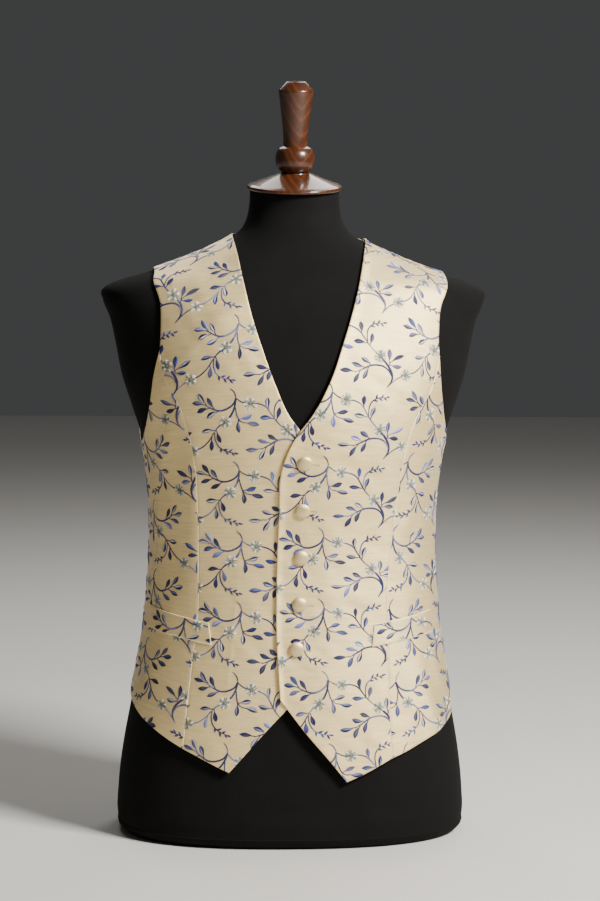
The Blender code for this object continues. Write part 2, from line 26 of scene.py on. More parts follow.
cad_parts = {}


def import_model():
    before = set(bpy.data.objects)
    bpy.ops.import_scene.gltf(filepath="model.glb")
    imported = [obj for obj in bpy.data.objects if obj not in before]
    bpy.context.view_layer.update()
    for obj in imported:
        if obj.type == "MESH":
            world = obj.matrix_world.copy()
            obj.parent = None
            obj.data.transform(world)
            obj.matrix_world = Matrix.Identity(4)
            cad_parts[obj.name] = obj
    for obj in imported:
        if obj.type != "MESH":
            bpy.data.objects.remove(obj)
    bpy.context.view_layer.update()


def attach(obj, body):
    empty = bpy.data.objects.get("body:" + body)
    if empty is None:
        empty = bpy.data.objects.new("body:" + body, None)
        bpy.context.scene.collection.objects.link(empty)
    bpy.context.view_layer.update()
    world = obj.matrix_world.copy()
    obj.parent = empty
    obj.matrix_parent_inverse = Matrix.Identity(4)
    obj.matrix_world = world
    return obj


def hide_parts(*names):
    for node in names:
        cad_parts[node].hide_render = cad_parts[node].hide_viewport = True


LOG = logging.getLogger("waistcoat")
MM = 0.001
Array = np.ndarray
Row = Sequence[float]
Rows = Sequence[Row]
Stops = Sequence[tuple[int, float]]
Colour = tuple[float, float, float]

# Cloth: walls of the fronts, the back and the welts, and the room over another layer.
FRONT_WALL = 0.0020
BACK_WALL = 0.0012
WELT_WALL = 0.0014
LAYER_GAP = 0.0003
LAP_LIFT = 0.0028
LAP_FADE_ACROSS = (0.030, 0.080)
LAP_FADE_HEIGHT = (0.505, 0.600)

# The form: height, half width, depth in front, depth behind, squareness of the section.
FORM_SECTIONS = (
    (0.000, 0.1985, 0.1190, 0.119, 2.40), (0.006, 0.2060, 0.1265, 0.126, 2.40),
    (0.020, 0.2095, 0.1300, 0.130, 2.40), (0.050, 0.2090, 0.1300, 0.131, 2.40),
    (0.100, 0.2035, 0.1285, 0.132, 2.40), (0.150, 0.1945, 0.1265, 0.129, 2.40),
    (0.200, 0.1845, 0.1240, 0.122, 2.40), (0.250, 0.1765, 0.1210, 0.113, 2.40),
    (0.300, 0.1715, 0.1185, 0.105, 2.40), (0.360, 0.1690, 0.1185, 0.100, 2.40),
    (0.420, 0.1710, 0.1240, 0.106, 2.40), (0.470, 0.1790, 0.1300, 0.114, 2.40),
    (0.510, 0.1920, 0.1330, 0.120, 2.35), (0.550, 0.2050, 0.1320, 0.123, 2.30),
    (0.590, 0.2130, 0.1260, 0.122, 2.25), (0.620, 0.2200, 0.1170, 0.118, 2.20),
    (0.640, 0.2280, 0.1060, 0.112, 2.15), (0.652, 0.2290, 0.0980, 0.107, 2.10),
    (0.662, 0.2120, 0.0900, 0.102, 2.10), (0.672, 0.1780, 0.0815, 0.096, 2.10),
    (0.682, 0.1480, 0.0730, 0.089, 2.10), (0.692, 0.1220, 0.0660, 0.082, 2.10),
    (0.702, 0.0990, 0.0600, 0.076, 2.05), (0.712, 0.0800, 0.0560, 0.070, 2.00),
    (0.722, 0.0660, 0.0530, 0.065, 2.00), (0.735, 0.0580, 0.0500, 0.060, 2.00),
    (0.750, 0.0545, 0.0480, 0.056, 2.00), (0.772, 0.0530, 0.0500, 0.053, 2.00),
)
NECK_TOP = 0.772
NECK_BEND = 0.725
NECK_LEAN = math.radians(8.0)

# Ease between the form and the cloth: height, in front, at the sides, behind.
EASE = (
    (0.080, 0.0045, 0.0030, 0.0040), (0.170, 0.0040, 0.0030, 0.0040), (0.250, 0.0030, 0.0022, 0.0050),
    (0.360, 0.0030, 0.0020, 0.0052), (0.450, 0.0026, 0.0022, 0.0032), (0.550, 0.0022, 0.0019, 0.0022),
    (0.620, 0.0016, 0.0014, 0.0016), (0.670, 0.0013, 0.0012, 0.0013), (0.720, 0.0012, 0.0012, 0.0012),
)

# Soft ridges and troughs: turn in degrees, height, lean in degrees, half length, half width, lift.
SOFT_RIDGES = (
    (-50.0, 0.405, 4.0, 0.075, 0.012, 0.0018), (-71.0, 0.375, -6.0, 0.060, 0.013, 0.0022),
    (62.0, 0.150, -10.0, 0.050, 0.014, 0.0022), (74.0, 0.330, 5.0, 0.080, 0.013, 0.0016),
    (150.0, 0.330, 62.0, 0.055, 0.012, 0.0026), (-152.0, 0.345, -66.0, 0.050, 0.011, 0.0024),
    (172.0, 0.300, 78.0, 0.045, 0.010, 0.0020), (128.0, 0.190, 12.0, 0.055, 0.015, 0.0022),
    (-131.0, 0.200, -9.0, 0.060, 0.015, 0.0020),
)
FINE_FOLDS = (
    (-33.0, 0.255, 3.0, 0.085, 0.0018, 0.00035), (-28.0, 0.430, 74.0, 0.040, 0.010, -0.0009),
    (-31.0, 0.300, 83.0, 0.045, 0.011, 0.0008), (24.0, 0.452, -70.0, 0.038, 0.009, -0.0008),
    (30.0, 0.300, -80.0, 0.050, 0.012, 0.0007), (47.0, 0.220, -12.0, 0.055, 0.008, 0.0008),
    (69.0, 0.205, -16.0, 0.050, 0.009, 0.0009), (57.0, 0.395, 24.0, 0.060, 0.009, 0.0009),
    (-62.0, 0.470, 30.0, 0.050, 0.009, 0.0009), (-60.0, 0.330, -14.0, 0.050, 0.009, -0.0010),
    (-66.0, 0.215, 12.0, 0.055, 0.010, 0.0009), (-45.0, 0.600, 34.0, 0.055, 0.011, 0.0009),
    (44.0, 0.610, -30.0, 0.055, 0.011, 0.0009), (38.0, 0.545, -44.0, 0.060, 0.010, -0.0008),
    (160.0, 0.400, 84.0, 0.070, 0.012, 0.0016), (-166.0, 0.375, -80.0, 0.060, 0.010, 0.0015),
    (139.0, 0.300, 70.0, 0.050, 0.009, 0.0014), (-140.0, 0.285, -58.0, 0.055, 0.010, 0.0013),
    (166.0, 0.235, 66.0, 0.060, 0.012, 0.0013), (-121.0, 0.470, -34.0, 0.075, 0.011, 0.0014),
    (124.0, 0.455, 38.0, 0.070, 0.012, 0.0013), (146.0, 0.600, 22.0, 0.070, 0.013, 0.0011),
    (-150.0, 0.610, -18.0, 0.070, 0.013, 0.0011),
)

# Front view of the over front, wearer's left: across, height.
OVER_EDGE = (
    (-0.0200, 0.180), (-0.0245, 0.260), (-0.0245, 0.320), (-0.0225, 0.396), (-0.0195, 0.452),
    (-0.0110, 0.476), (0.0020, 0.497), (0.0128, 0.511), (0.0335, 0.549), (0.0520, 0.601), (0.0688, 0.654),
    (0.0785, 0.694),
)
OVER_TIP = (0.0580, 0.0820)
OVER_HEM = ((0.0100, 0.1405), (0.0370, 0.1085))
OVER_HEM_OUTER = ((0.0765, 0.0895),)
LEFT_SEAM = (
    (0.1110, 0.1070), (0.1080, 0.165), (0.1060, 0.221), (0.1040, 0.290), (0.1080, 0.354), (0.1140, 0.407),
    (0.1200, 0.450), (0.1320, 0.500), (0.1550, 0.545),
)
LEFT_SIDE_HEM = ((0.1300, 0.1145), (0.1485, 0.1230), (0.1730, 0.1355), (0.1845, 0.1460))

# Front view of the under front, wearer's right: across, height.
UNDER_EDGE = (
    (0.0200, 0.203), (0.0245, 0.260), (0.0245, 0.320), (0.0225, 0.396), (0.0205, 0.445), (0.0130, 0.470),
    (0.0010, 0.495), (-0.0110, 0.511), (-0.0280, 0.548), (-0.0426, 0.588), (-0.0536, 0.622),
    (-0.0628, 0.661), (-0.0690, 0.694),
)
UNDER_TIP = (-0.0780, 0.0930)
UNDER_HEM = ((-0.0110, 0.1690), (-0.0350, 0.1430), (-0.0600, 0.1140))
UNDER_HEM_OUTER = ((-0.0900, 0.0985), (-0.1135, 0.1100))
RIGHT_SEAM = (
    (-0.1305, 0.1180), (-0.1260, 0.164), (-0.1205, 0.215), (-0.1140, 0.272), (-0.1130, 0.340),
    (-0.1138, 0.402), (-0.1195, 0.467), (-0.1350, 0.519), (-0.1560, 0.563),
)
RIGHT_SIDE_HEM = ((-0.1480, 0.1275), (-0.1640, 0.1375), (-0.1860, 0.1580))

# Armholes, side seams and shoulders, by the turn from the front in degrees and the height.
LEFT_ARMHOLE = ((61.5, 0.5790), (62.2, 0.606), (65.0, 0.635), (71.0, 0.656), (79.0, 0.668), (93.0, 0.6720))
RIGHT_ARMHOLE = ((60.1, 0.5850), (60.8, 0.612), (63.6, 0.640), (70.0, 0.660), (78.0, 0.671), (93.0, 0.6752))
LEFT_ARMHOLE_UNDER = ((62.6, 0.546), (68.0, 0.507), (75.5, 0.484))
RIGHT_ARMHOLE_UNDER = ((61.6, 0.561), (64.8, 0.525), (71.4, 0.492), (78.0, 0.477))
LEFT_SIDE_SEAM = ((77.5, 0.1565), (81.0, 0.200), (85.0, 0.260), (88.0, 0.360), (90.0, 0.4685))
RIGHT_SIDE_SEAM = ((84.0, 0.1685), (86.0, 0.220), (87.0, 0.280), (88.0, 0.360), (88.0, 0.4685))
LEFT_SHOULDER = ((95.0, 0.7110), (94.5, 0.697), (94.0, 0.684))
RIGHT_SHOULDER = ((95.0, 0.7175), (94.5, 0.702), (94.0, 0.688))

# Back pieces: the armhole by turn and drop below the shoulder's end, the neck, the centre seam.
BACK_ARMHOLE = (
    (102.0, 0.182), (112.0, 0.150), (117.5, 0.112), (119.0, 0.072), (116.5, 0.038), (111.5, 0.017),
    (104.0, 0.006),
)
BACK_NECK = ((118.0, 0.716), (145.0, 0.7155))
BACK_CENTRE = (0.168, 0.240, 0.330, 0.420, 0.480, 0.560, 0.640, 0.680, 0.715)
BACK_HEM_DIP = 0.004

# Where along each edge, from 0 to 1, the points of its table fall.
SEAM_SHARE = 16 / 28
OVER_STOPS = ((0, 0.0), (6, 13 / 28), (9, 18 / 28), (12, 1.0))
UNDER_STOPS = ((0, 0.0), (6, 13 / 28), (9, 17 / 28), (13, 1.0))
FRONT_ARMHOLE_STOPS = ((0, SEAM_SHARE), (2, 20 / 28), (5, 1.0))
TIP_SHARE = 0.5
BACK_CENTRE_STOPS = ((0, 0.0), (4, 0.5), (6, 22 / 32), (8, 1.0))
BACK_ARMHOLE_STOPS = ((0, 0.5), (4, 0.75), (8, 1.0))
NECK_SHARE = 6 / 14

# Welts: inner top, outer top, inner bottom and outer bottom corners in the front view.
LEFT_WELT = ((0.0890, 0.2655), (0.1560, 0.2755), (0.0870, 0.2400), (0.1600, 0.2500))
RIGHT_WELT = ((-0.1010, 0.2665), (-0.1670, 0.2790), (-0.0980, 0.2420), (-0.1700, 0.2540))

# Where the buttons sit on the over front: across, height.
BUTTONS = ((0.0065, 0.4580), (0.0045, 0.4020), (0.0035, 0.3460), (0.0020, 0.2910), (-0.0010, 0.2390))


def linear(red: int, green: int, blue: int) -> Colour:
    """Return a screen colour, 0 to 255, as linear light."""
    parts = [c / 255 for c in (red, green, blue)]
    return tuple(c / 12.92 if c <= 0.04045 else ((c + 0.055) / 1.055) ** 2.4 for c in parts)


def fade(value: Array, start: float, end: float) -> Array:
    """Return 0 before start and 1 after end, with a smooth rise between."""
    part = np.clip((value - start) / (end - start), 0.0, 1.0)
    return part * part * (3.0 - 2.0 * part)


def cubic(t: Array, start: Array, end: Array, leave: Array, arrive: Array) -> Array:
    """Return the cubic between two values with the given slopes over the span."""
    first = (2 * t**3 - 3 * t**2 + 1) * start + (t**3 - 2 * t**2 + t) * leave
    return first + (3 * t**2 - 2 * t**3) * end + (t**3 - t**2) * arrive


def travelled(points: Array) -> Array:
    """Return how far along a line each of its points lies."""
    return np.concatenate([[0.0], np.cumsum(norm(np.diff(points, axis=0), axis=1))])


def smooth_line(points: Array, fine: int) -> Array:
    """Draw a smooth line through points.

    Args:
        points: the points, flat or in space.
        fine: steps from each point to the next.

    Returns:
        The line's points.
    """
    knots = travelled(points)
    slopes = np.gradient(points, knots, axis=0)
    t = (np.arange(1, fine + 1) / fine)[:, None]
    line = [points[:1]]
    for k in range(len(points) - 1):
        span = knots[k + 1] - knots[k]
        line.append(cubic(t, points[k], points[k + 1], slopes[k] * span, slopes[k + 1] * span))
    return np.concatenate(line)


def spaced(points: Sequence[Array], start: float = 0.0, end: float = 1.0) -> tuple[Sequence[Array], Stops]:
    """Return a run of an edge, from one share of it to another."""
    return points, ((0, start), (len(points) - 1, end))


class Figure:
    """The form's surface: rounded sections stacked up, smooth between them."""

    def __init__(self, sections: Rows, step: float = 0.001) -> None:
        """Read the table into columns.

        Args:
            sections: height, half width, two depths and squareness of each section.
            step: the height from one value of a column to the next.
        """
        table = np.array(sections)
        self.heights = np.arange(table[0, 0], table[-1, 0] + step / 2, step)
        self.columns = [self.smooth(table[:, 0], table[:, k]) for k in range(1, 5)]

    def smooth(self, knots: Array, values: Array) -> Array:
        """Read a cubic through a column of the table.

        Args:
            knots: the rows' heights.
            values: the column.

        Returns:
            The column's value at every step of height.
        """
        slopes = np.gradient(values, knots)
        row = np.clip(np.searchsorted(knots, self.heights, side="right") - 1, 0, len(knots) - 2)
        span = knots[row + 1] - knots[row]
        t = (self.heights - knots[row]) / span
        return cubic(t, values[row], values[row + 1], slopes[row] * span, slopes[row + 1] * span)

    def section(self, height: Array | float) -> list[Array]:
        """Return half width, front depth, back depth and squareness at a height."""
        return [np.interp(height, self.heights, column) for column in self.columns]

    def level(self, points: Array) -> Array:
        """Tell how far out points are.

        Args:
            points: the points.

        Returns:
            0 for a point on the surface, and more for one outside.
        """
        x, y, z = np.moveaxis(points, -1, 0)
        width, front, back, power = self.section(z)
        depth = np.where(y < 0, front, back)
        return (np.abs(x / width) ** power + np.abs(y / depth) ** power) ** (1.0 / power) - 1.0

    def slope(self, points: Array, reach: float = 0.0002) -> Array:
        """Measure how the level changes round points.

        Args:
            points: the points.
            reach: how far to each side it is measured.

        Returns:
            The gradient of the level at each point.
        """
        parts = []
        for axis in range(3):
            step = np.zeros(3)
            step[axis] = reach
            parts.append((self.level(points + step) - self.level(points - step)) / (2 * reach))
        return np.stack(parts, -1)

    def normal(self, points: Array) -> Array:
        """Return the outward unit normal at each point."""
        slope = self.slope(points)
        return slope / norm(slope, axis=-1, keepdims=True)

    def seat(self, points: Array, passes: int = 24, reach: float = 0.006) -> Array:
        """Move points square to the surface until they lie on it.

        Args:
            points: the points.
            passes: how often they are moved.
            reach: the most that they move in a pass.

        Returns:
            The points on the surface.
        """
        for _ in range(passes):
            slope = self.slope(points)
            move = self.level(points)[..., None] * slope / (slope**2).sum(-1, keepdims=True)
            length = norm(move, axis=-1, keepdims=True)
            points = points - move * np.minimum(1.0, reach / np.maximum(length, 1e-9))
        return points

    def front_point(self, across: float, height: float) -> Array:
        """Return the point of the front seen at this place in the front view."""
        width, front, _, power = self.section(height)
        return np.array([across, -front * (1 - abs(across / width) ** power) ** (1 / power), height])

    def turned_point(self, turn: float, height: float) -> Array:
        """Find the surface's point at a turn and a height.

        Args:
            turn: degrees from the front, more to the wearer's left.
            height: its height.

        Returns:
            The point.
        """
        width, front, back, power = self.section(height)
        x, y = math.sin(math.radians(turn)), -math.cos(math.radians(turn))
        depth = front if y < 0 else back
        radius = (abs(x / width) ** power + abs(y / depth) ** power) ** (-1 / power)
        return np.array([x * radius, y * radius, height])

    def front_points(self, rows: Iterable[Row]) -> list[Array]:
        """Return the points of a front-view table."""
        return [self.front_point(*row) for row in rows]

    def turned_points(self, rows: Iterable[Row], side: int = 1) -> list[Array]:
        """Return the points of a table of turns, on the left (1) or right (-1)."""
        return [self.turned_point(side * turn, height) for turn, height in rows]


class EdgeLine:
    """An edge of a panel, read by a share that runs from 0 to 1 along it."""

    def __init__(self, *runs: tuple[Sequence[Array], Stops]) -> None:
        """Measure each smooth run; runs meet in a corner."""
        self.runs = [self.measure(np.asarray(points), stops) for points, stops in runs]

    @staticmethod
    def measure(points: Array, stops: Stops, fine: int = 32) -> tuple[Array, ...]:
        """Measure a run.

        Args:
            points: the points of its table.
            stops: places in that table, and the edge's share at each.
            fine: steps from each point to the next.

        Returns:
            The travel along its fine line, that line, and its stops by share and by travel.
        """
        line = smooth_line(points, fine)
        travel = travelled(line)
        shares = np.array([share for _, share in stops])
        return travel, line, shares, np.array([travel[place * fine] for place, _ in stops])

    def read(self, shares: Array) -> Array:
        """Read the edge.

        Args:
            shares: places from 0 to 1 along it.

        Returns:
            The points there.
        """
        points = np.empty((len(shares), 3))
        for travel, line, at, lengths in self.runs:
            chosen = (shares >= at[0] - 1e-9) & (shares <= at[-1] + 1e-9)
            reach = np.interp(shares[chosen], at, lengths)
            points[chosen] = np.stack([np.interp(reach, travel, line[:, k]) for k in range(3)], -1)
        return points

    def length(self) -> float:
        """Return the edge's whole length."""
        return sum(run[0][-1] for run in self.runs)


class EdgeKind(Enum):
    """How an edge of a panel is finished."""

    TURNED = "turned in, with a round edge"
    SEAM = "sewn to its neighbour"


@dataclass
class Drape:
    """How far the cloth lies off the form."""

    ridges: Rows = SOFT_RIDGES + FINE_FOLDS
    ripple: float = 0.00035
    ripple_length: float = 0.045
    facing: tuple[float, float] = (0.1, 0.9)

    def ease(self, points: Array) -> Array:
        """Measure the room between the form and the cloth.

        Args:
            points: points of the form's surface.

        Returns:
            The ease at each point.
        """
        table = np.array(EASE)
        front, side, back = [np.interp(points[..., 2], table[:, 0], table[:, k]) for k in (1, 2, 3)]
        facing = -points[..., 1] / np.maximum(np.hypot(points[..., 0], points[..., 1]), 1e-6)
        ahead, behind = fade(facing, *self.facing), fade(-facing, *self.facing)
        return side + (front - side) * ahead + (back - side) * behind

    def folds(self, points: Array) -> Array:
        """Add up the soft ridges and troughs, and a slight unevenness.

        Args:
            points: points of the form's surface.

        Returns:
            The cloth's lift at each point.
        """
        turn = np.arctan2(points[..., 0], -points[..., 1])
        reach = np.hypot(points[..., 0], points[..., 1])
        lift = np.zeros(turn.shape)
        for degrees, height, lean, half_length, half_width, rise in self.ridges:
            away = (turn - math.radians(degrees) + math.pi) % (2 * math.pi) - math.pi
            across, up = away * reach, points[..., 2] - height
            lean = math.radians(lean)
            along = across * math.sin(lean) + up * math.cos(lean)
            beside = across * math.cos(lean) - up * math.sin(lean)
            lift += rise * np.exp(-((along / half_length) ** 2) - (beside / half_width) ** 2)
        wave = 2 * math.pi / self.ripple_length
        x, y, z = np.moveaxis(points, -1, 0)
        uneven = np.sin(wave * (x + 0.6 * z)) * np.sin(wave * (0.8 * y - 0.45 * z) + 1.3)
        return lift + self.ripple * uneven * np.sin(0.37 * wave * (x - y + 1.4 * z))

    def base(self, points: Array) -> Array:
        """Return the height of the cloth's inner face over the form."""
        return self.ease(points) + self.folds(points)

    def lapped(self, points: Array) -> Array:
        """Return the over front's height, which clears the under front."""
        across = 1 - fade(points[..., 0], *LAP_FADE_ACROSS)
        return self.base(points) + LAP_LIFT * across * (1 - fade(points[..., 2], *LAP_FADE_HEIGHT))

    def welt(self, points: Array) -> Array:
        """Return the height of a welt, which lies on the fronts."""
        return self.base(points) + FRONT_WALL + LAYER_GAP


@dataclass
class Panel:
    """One cut piece of cloth, as a fine grid that is moved out and given its wall."""

    node: str
    figure: Figure
    inner: EdgeLine
    outer: EdgeLine
    bottom: EdgeLine
    top: EdgeLine
    wall: float
    height: Callable[[Array], Array]
    kinds: tuple[EdgeKind, EdgeKind, EdgeKind, EdgeKind]
    breaks_across: tuple[float, ...] = ()
    breaks_up: tuple[float, ...] = ()
    grain: tuple[float, float] = (0.1, 0.45)
    step: float = 0.0030
    lips: tuple[float, ...] = (0.0003, 0.0008, 0.0015, 0.0026, 0.0042)
    seam_dip: float = 0.00075
    seam_reach: float = 0.0034
    roll: float = 0.0
    roll_reach: float = 0.011
    round_reach: float = 1.3
    thinnest: float = 0.16
    lip_room: float = 1.4
    smoothing: int = 12
    grid: Array = field(init=False)
    normals: Array = field(init=False)
    outside: Array = field(init=False)
    inside: Array = field(init=False)
    flat: Array = field(init=False)

    def __post_init__(self) -> None:
        """Lay the grid on the figure, move it out and unwrap it."""
        across = self.spread((self.bottom.length() + self.top.length()) / 2, self.breaks_across)
        upward = self.spread((self.inner.length() + self.outer.length()) / 2, self.breaks_up)
        self.grid = self.patch(across, upward)
        self.normals = self.figure.normal(self.grid)
        high, low = self.heights()
        from_edge = norm(self.grid - self.grid[:, :1], axis=-1)
        base = self.height(self.grid) + self.roll * (1 - fade(from_edge, 0.0, self.roll_reach))
        self.outside = self.grid + self.normals * (base + high)[..., None]
        self.inside = self.grid + self.normals * (base + low)[..., None]
        self.flat = self.unwrap()
        flat = [(*point, 0.0) for point in self.flat.reshape(-1, 2)]
        self.tree = BVHTree.FromPolygons(flat, self.triangles())

    def spread(self, length: float, breaks: Sequence[float]) -> Array:
        """Spread the grid's lines over a side, close at both ends and even between.

        Args:
            length: the side's length.
            breaks: shares that a line has to keep.

        Returns:
            The lines' shares, from 0 to 1.
        """
        marks = (0.0, *breaks, 1.0)
        even = []
        for start, end in zip(marks, marks[1:]):
            even.append(np.linspace(start, end, max(1, round((end - start) * length / self.step)) + 1))
        lips = np.array(self.lips) / length
        even = np.unique(np.round(np.concatenate(even), 9))
        room = lips[-1] * self.lip_room
        even = even[(even > room) & (even < 1 - room)]
        return np.concatenate([[0.0], lips, even, 1 - lips[::-1], [1.0]])

    def patch(self, across: Array, upward: Array) -> Array:
        """Fill the four edges with a smooth grid on the figure.

        Args:
            across: the columns' shares.
            upward: the rows' shares.

        Returns:
            The grid's points, by row and column.
        """
        inner, outer = [self.figure.seat(edge.read(upward)) for edge in (self.inner, self.outer)]
        bottom, top = [self.figure.seat(edge.read(across)) for edge in (self.bottom, self.top)]
        u, v = across[None, :, None], upward[:, None, None]
        sides = (1 - u) * inner[:, None] + u * outer[:, None] + (1 - v) * bottom[None] + v * top[None]
        low, high = (1 - u) * inner[0] + u * outer[0], (1 - u) * inner[-1] + u * outer[-1]
        return self.figure.seat(sides - (1 - v) * low - v * high)

    def heights(self) -> tuple[Array, Array]:
        """Round the turned edges and press the seams.

        Returns:
            The outer and the inner face's height over the cloth's base.
        """
        ends = (self.grid[:, :1], self.grid[:, -1:], self.grid[:1], self.grid[-1:])
        away = [norm(self.grid - end, axis=-1) for end in ends]
        free = [d for d, kind in zip(away, self.kinds) if kind is EdgeKind.TURNED]
        sewn = [d for d, kind in zip(away, self.kinds) if kind is EdgeKind.SEAM]
        half = self.wall / 2
        swell = np.ones(self.grid.shape[:2])
        if free:
            part = np.clip(np.min(free, axis=0) / (half * self.round_reach), 0.0, 1.0)
            swell = np.maximum(np.sqrt(1 - (1 - part) ** 2), self.thinnest)
        dip = np.zeros(self.grid.shape[:2])
        if sewn:
            part = np.clip(np.min(sewn, axis=0) / self.seam_reach, 0.0, 1.0)
            dip = self.seam_dip * (1 - np.sqrt(1 - (1 - part) ** 2))
        return half + half * swell - dip, half - half * swell

    def faces_outward(self) -> bool:
        """Tell which way the grid turns.

        Returns:
            True where its columns and rows turn outward.
        """
        row, column = self.grid.shape[0] // 2, self.grid.shape[1] // 2
        across = self.grid[row, column + 1] - self.grid[row, column]
        upward = self.grid[row + 1, column] - self.grid[row, column]
        return float(np.dot(np.cross(across, upward), self.normals[row, column])) > 0

    def quads(self) -> Array:
        """Join the grid's points.

        Returns:
            The outer face's quads, turned outward.
        """
        rows, columns = self.grid.shape[:2]
        first = (np.arange(rows - 1)[:, None] * columns + np.arange(columns - 1)[None]).ravel()
        quads = np.stack([first, first + 1, first + columns + 1, first + columns], -1)
        return quads if self.faces_outward() else quads[:, ::-1]

    def triangles(self) -> list[tuple[int, int, int]]:
        """Return the outer face's triangles, two for each quad."""
        quads = self.quads()
        return np.concatenate([quads[:, [0, 1, 2]], quads[:, [0, 2, 3]]]).tolist()

    def unwrap(self) -> Array:
        """Unwrap the grid.

        Returns:
            Its flat places in metres, with the grain running up.
        """
        rows, columns = self.grid.shape[:2]
        mesh = bpy.data.meshes.new("pattern")
        mesh.from_pydata(self.grid.reshape(-1, 3).tolist(), [], self.quads().tolist())
        mesh.uv_layers.new(name="flat")
        thing = add_object("pattern", mesh)
        bpy.context.view_layer.objects.active = thing
        bpy.ops.object.mode_set(mode="EDIT")
        bpy.ops.mesh.select_all(action="SELECT")
        bpy.ops.uv.unwrap(method="MINIMUM_STRETCH", margin=0.0, iterations=self.smoothing)
        bpy.ops.object.mode_set(mode="OBJECT")
        places = np.empty(len(mesh.loops) * 2)
        mesh.uv_layers["flat"].uv.foreach_get("vector", places)
        flat = np.empty((rows * columns, 2))
        flat[corner_points(mesh)] = places.reshape(-1, 2)
        bpy.data.objects.remove(thing, do_unlink=True)
        bpy.data.meshes.remove(mesh)
        return self.align(flat.reshape(rows, columns, 2))

    def align(self, flat: Array) -> Array:
        """Scale the unwrapped grid and turn its grain upright.

        Args:
            flat: the grid as unwrapped.

        Returns:
            The grid in metres.
        """
        solid, drawn = self.area(self.grid), self.area(np.dstack([flat, np.zeros(flat.shape[:2])]))
        flat = flat * math.sqrt(solid / drawn)
        rows = flat.shape[0] - 1
        low, high = [flat[round(share * rows)].mean(axis=0) for share in self.grain]
        run = (high - low) / norm(high - low)
        turn = np.array([[run[1], -run[0]], [run[0], run[1]]])
        return (flat - low) @ turn.T

    @staticmethod
    def area(grid: Array) -> float:
        """Return the area of a grid of points."""
        across, upward = grid[:-1, 1:] - grid[:-1, :-1], grid[1:, :-1] - grid[:-1, :-1]
        return float(norm(np.cross(across, upward), axis=-1).sum())

    def locate(self, places: Array) -> tuple[Array, Array, Array]:
        """Find flat places on the cloth.

        Args:
            places: flat places in metres, one row each.

        Returns:
            The corners of the triangle under each place, the weights of those
            corners, and how far each place lies outside the cloth.
        """
        corners = np.asarray(self.triangles())
        found = [self.tree.find_nearest((x, y, 0.0)) for x, y in places.tolist()]
        chosen = corners[[hit[2] for hit in found]]
        spots = np.array([hit[0][:2] for hit in found])
        away = np.array([hit[3] for hit in found])
        a, b, c = np.moveaxis(self.flat.reshape(-1, 2)[chosen], 1, 0)
        whole = np.cross(b - a, c - a)
        second = np.cross(spots - a, c - a) / whole
        third = np.cross(b - a, spots - a) / whole
        return chosen, np.stack([1 - second - third, second, third], -1), away

    def place(self, places: Array, heights: Array) -> Array:
        """Carry flat places back onto the cloth.

        Args:
            places: flat places in metres, one row each.
            heights: how high each point stands over the outer face.

        Returns:
            The points.
        """
        corners, weights, _ = self.locate(places)
        points = (self.outside.reshape(-1, 3)[corners] * weights[..., None]).sum(axis=1)
        normals = (self.normals.reshape(-1, 3)[corners] * weights[..., None]).sum(axis=1)
        return points + normals * heights[:, None]

    def flat_place(self, across: float, height: float) -> Array:
        """Find a point of the front view on the flat cloth.

        Args:
            across: its place across the front.
            height: its height.

        Returns:
            The nearest flat place of the grid.
        """
        point = self.figure.seat(self.figure.front_point(across, height)[None])[0]
        gaps = norm(self.grid - point, axis=-1)
        return self.flat[np.unravel_index(gaps.argmin(), gaps.shape)]

    def build(self, material: Material, slot: str) -> Object:
        """Make the panel's closed wall, with its flat cloth as its UV map.

        Args:
            material: the cloth's finish.
            slot: not used.

        Returns:
            The piece, which stands for the panel's solid.
        """
        rows, columns = self.grid.shape[:2]
        count = rows * columns
        quads = self.quads()
        rim = list(range(columns)) + [i * columns + columns - 1 for i in range(1, rows)]
        rim += [(rows - 1) * columns + j for j in range(columns - 2, -1, -1)]
        rim += [i * columns for i in range(rows - 2, 0, -1)]
        if not self.faces_outward():
            rim = rim[::-1]
        sides = [(a, b, count + b, count + a) for a, b in zip(rim, rim[1:] + rim[:1])]
        faces = (quads + count).tolist() + quads[:, ::-1].tolist() + sides
        points = np.concatenate([self.inside.reshape(-1, 3), self.outside.reshape(-1, 3)])
        mesh = new_mesh(f"cloth_{self.node}", points.tolist(), faces)
        add_uv(mesh, "cloth", np.tile(self.flat.reshape(-1, 2), (2, 1)))
        return add_piece(mesh, material, self.node)

    def cut(self) -> tuple[float, float, float]:
        """Return the flat cut's width, length and area."""
        span = self.flat.reshape(-1, 2).max(axis=0) - self.flat.reshape(-1, 2).min(axis=0)
        return float(span[0]), float(span[1]), self.area(self.grid)


def add_object(name: str, data: ID) -> Object:
    """Put an object with this data in the scene."""
    thing = bpy.data.objects.new(name, data)
    bpy.context.scene.collection.objects.link(thing)
    return thing


def corner_points(mesh: Mesh) -> Array:
    """Return which point each corner of a mesh's faces stands on."""
    corners = np.empty(len(mesh.loops), dtype=np.int64)
    mesh.loops.foreach_get("vertex_index", corners)
    return corners


def add_uv(mesh: Mesh, name: str, places: Array) -> None:
    """Give a mesh a UV map that has one place for each of its points."""
    layer = mesh.uv_layers.new(name=name)
    layer.uv.foreach_set("vector", places[corner_points(mesh)].astype(np.float32).ravel())


def new_mesh(name: str, points: Rows, faces: Sequence[Sequence[int]], sharp: float = 0.0) -> Mesh:
    """Make a smooth mesh.

    Args:
        name: its name.
        points: its points.
        faces: the points of each face.
        sharp: degrees past which an edge stays sharp, or 0 where none does.

    Returns:
        The mesh.
    """
    mesh = bpy.data.meshes.new(name)
    mesh.from_pydata(points, [], faces)
    mesh.shade_smooth()
    if sharp:
        mesh.set_sharp_from_angle(angle=math.radians(sharp))
    return mesh


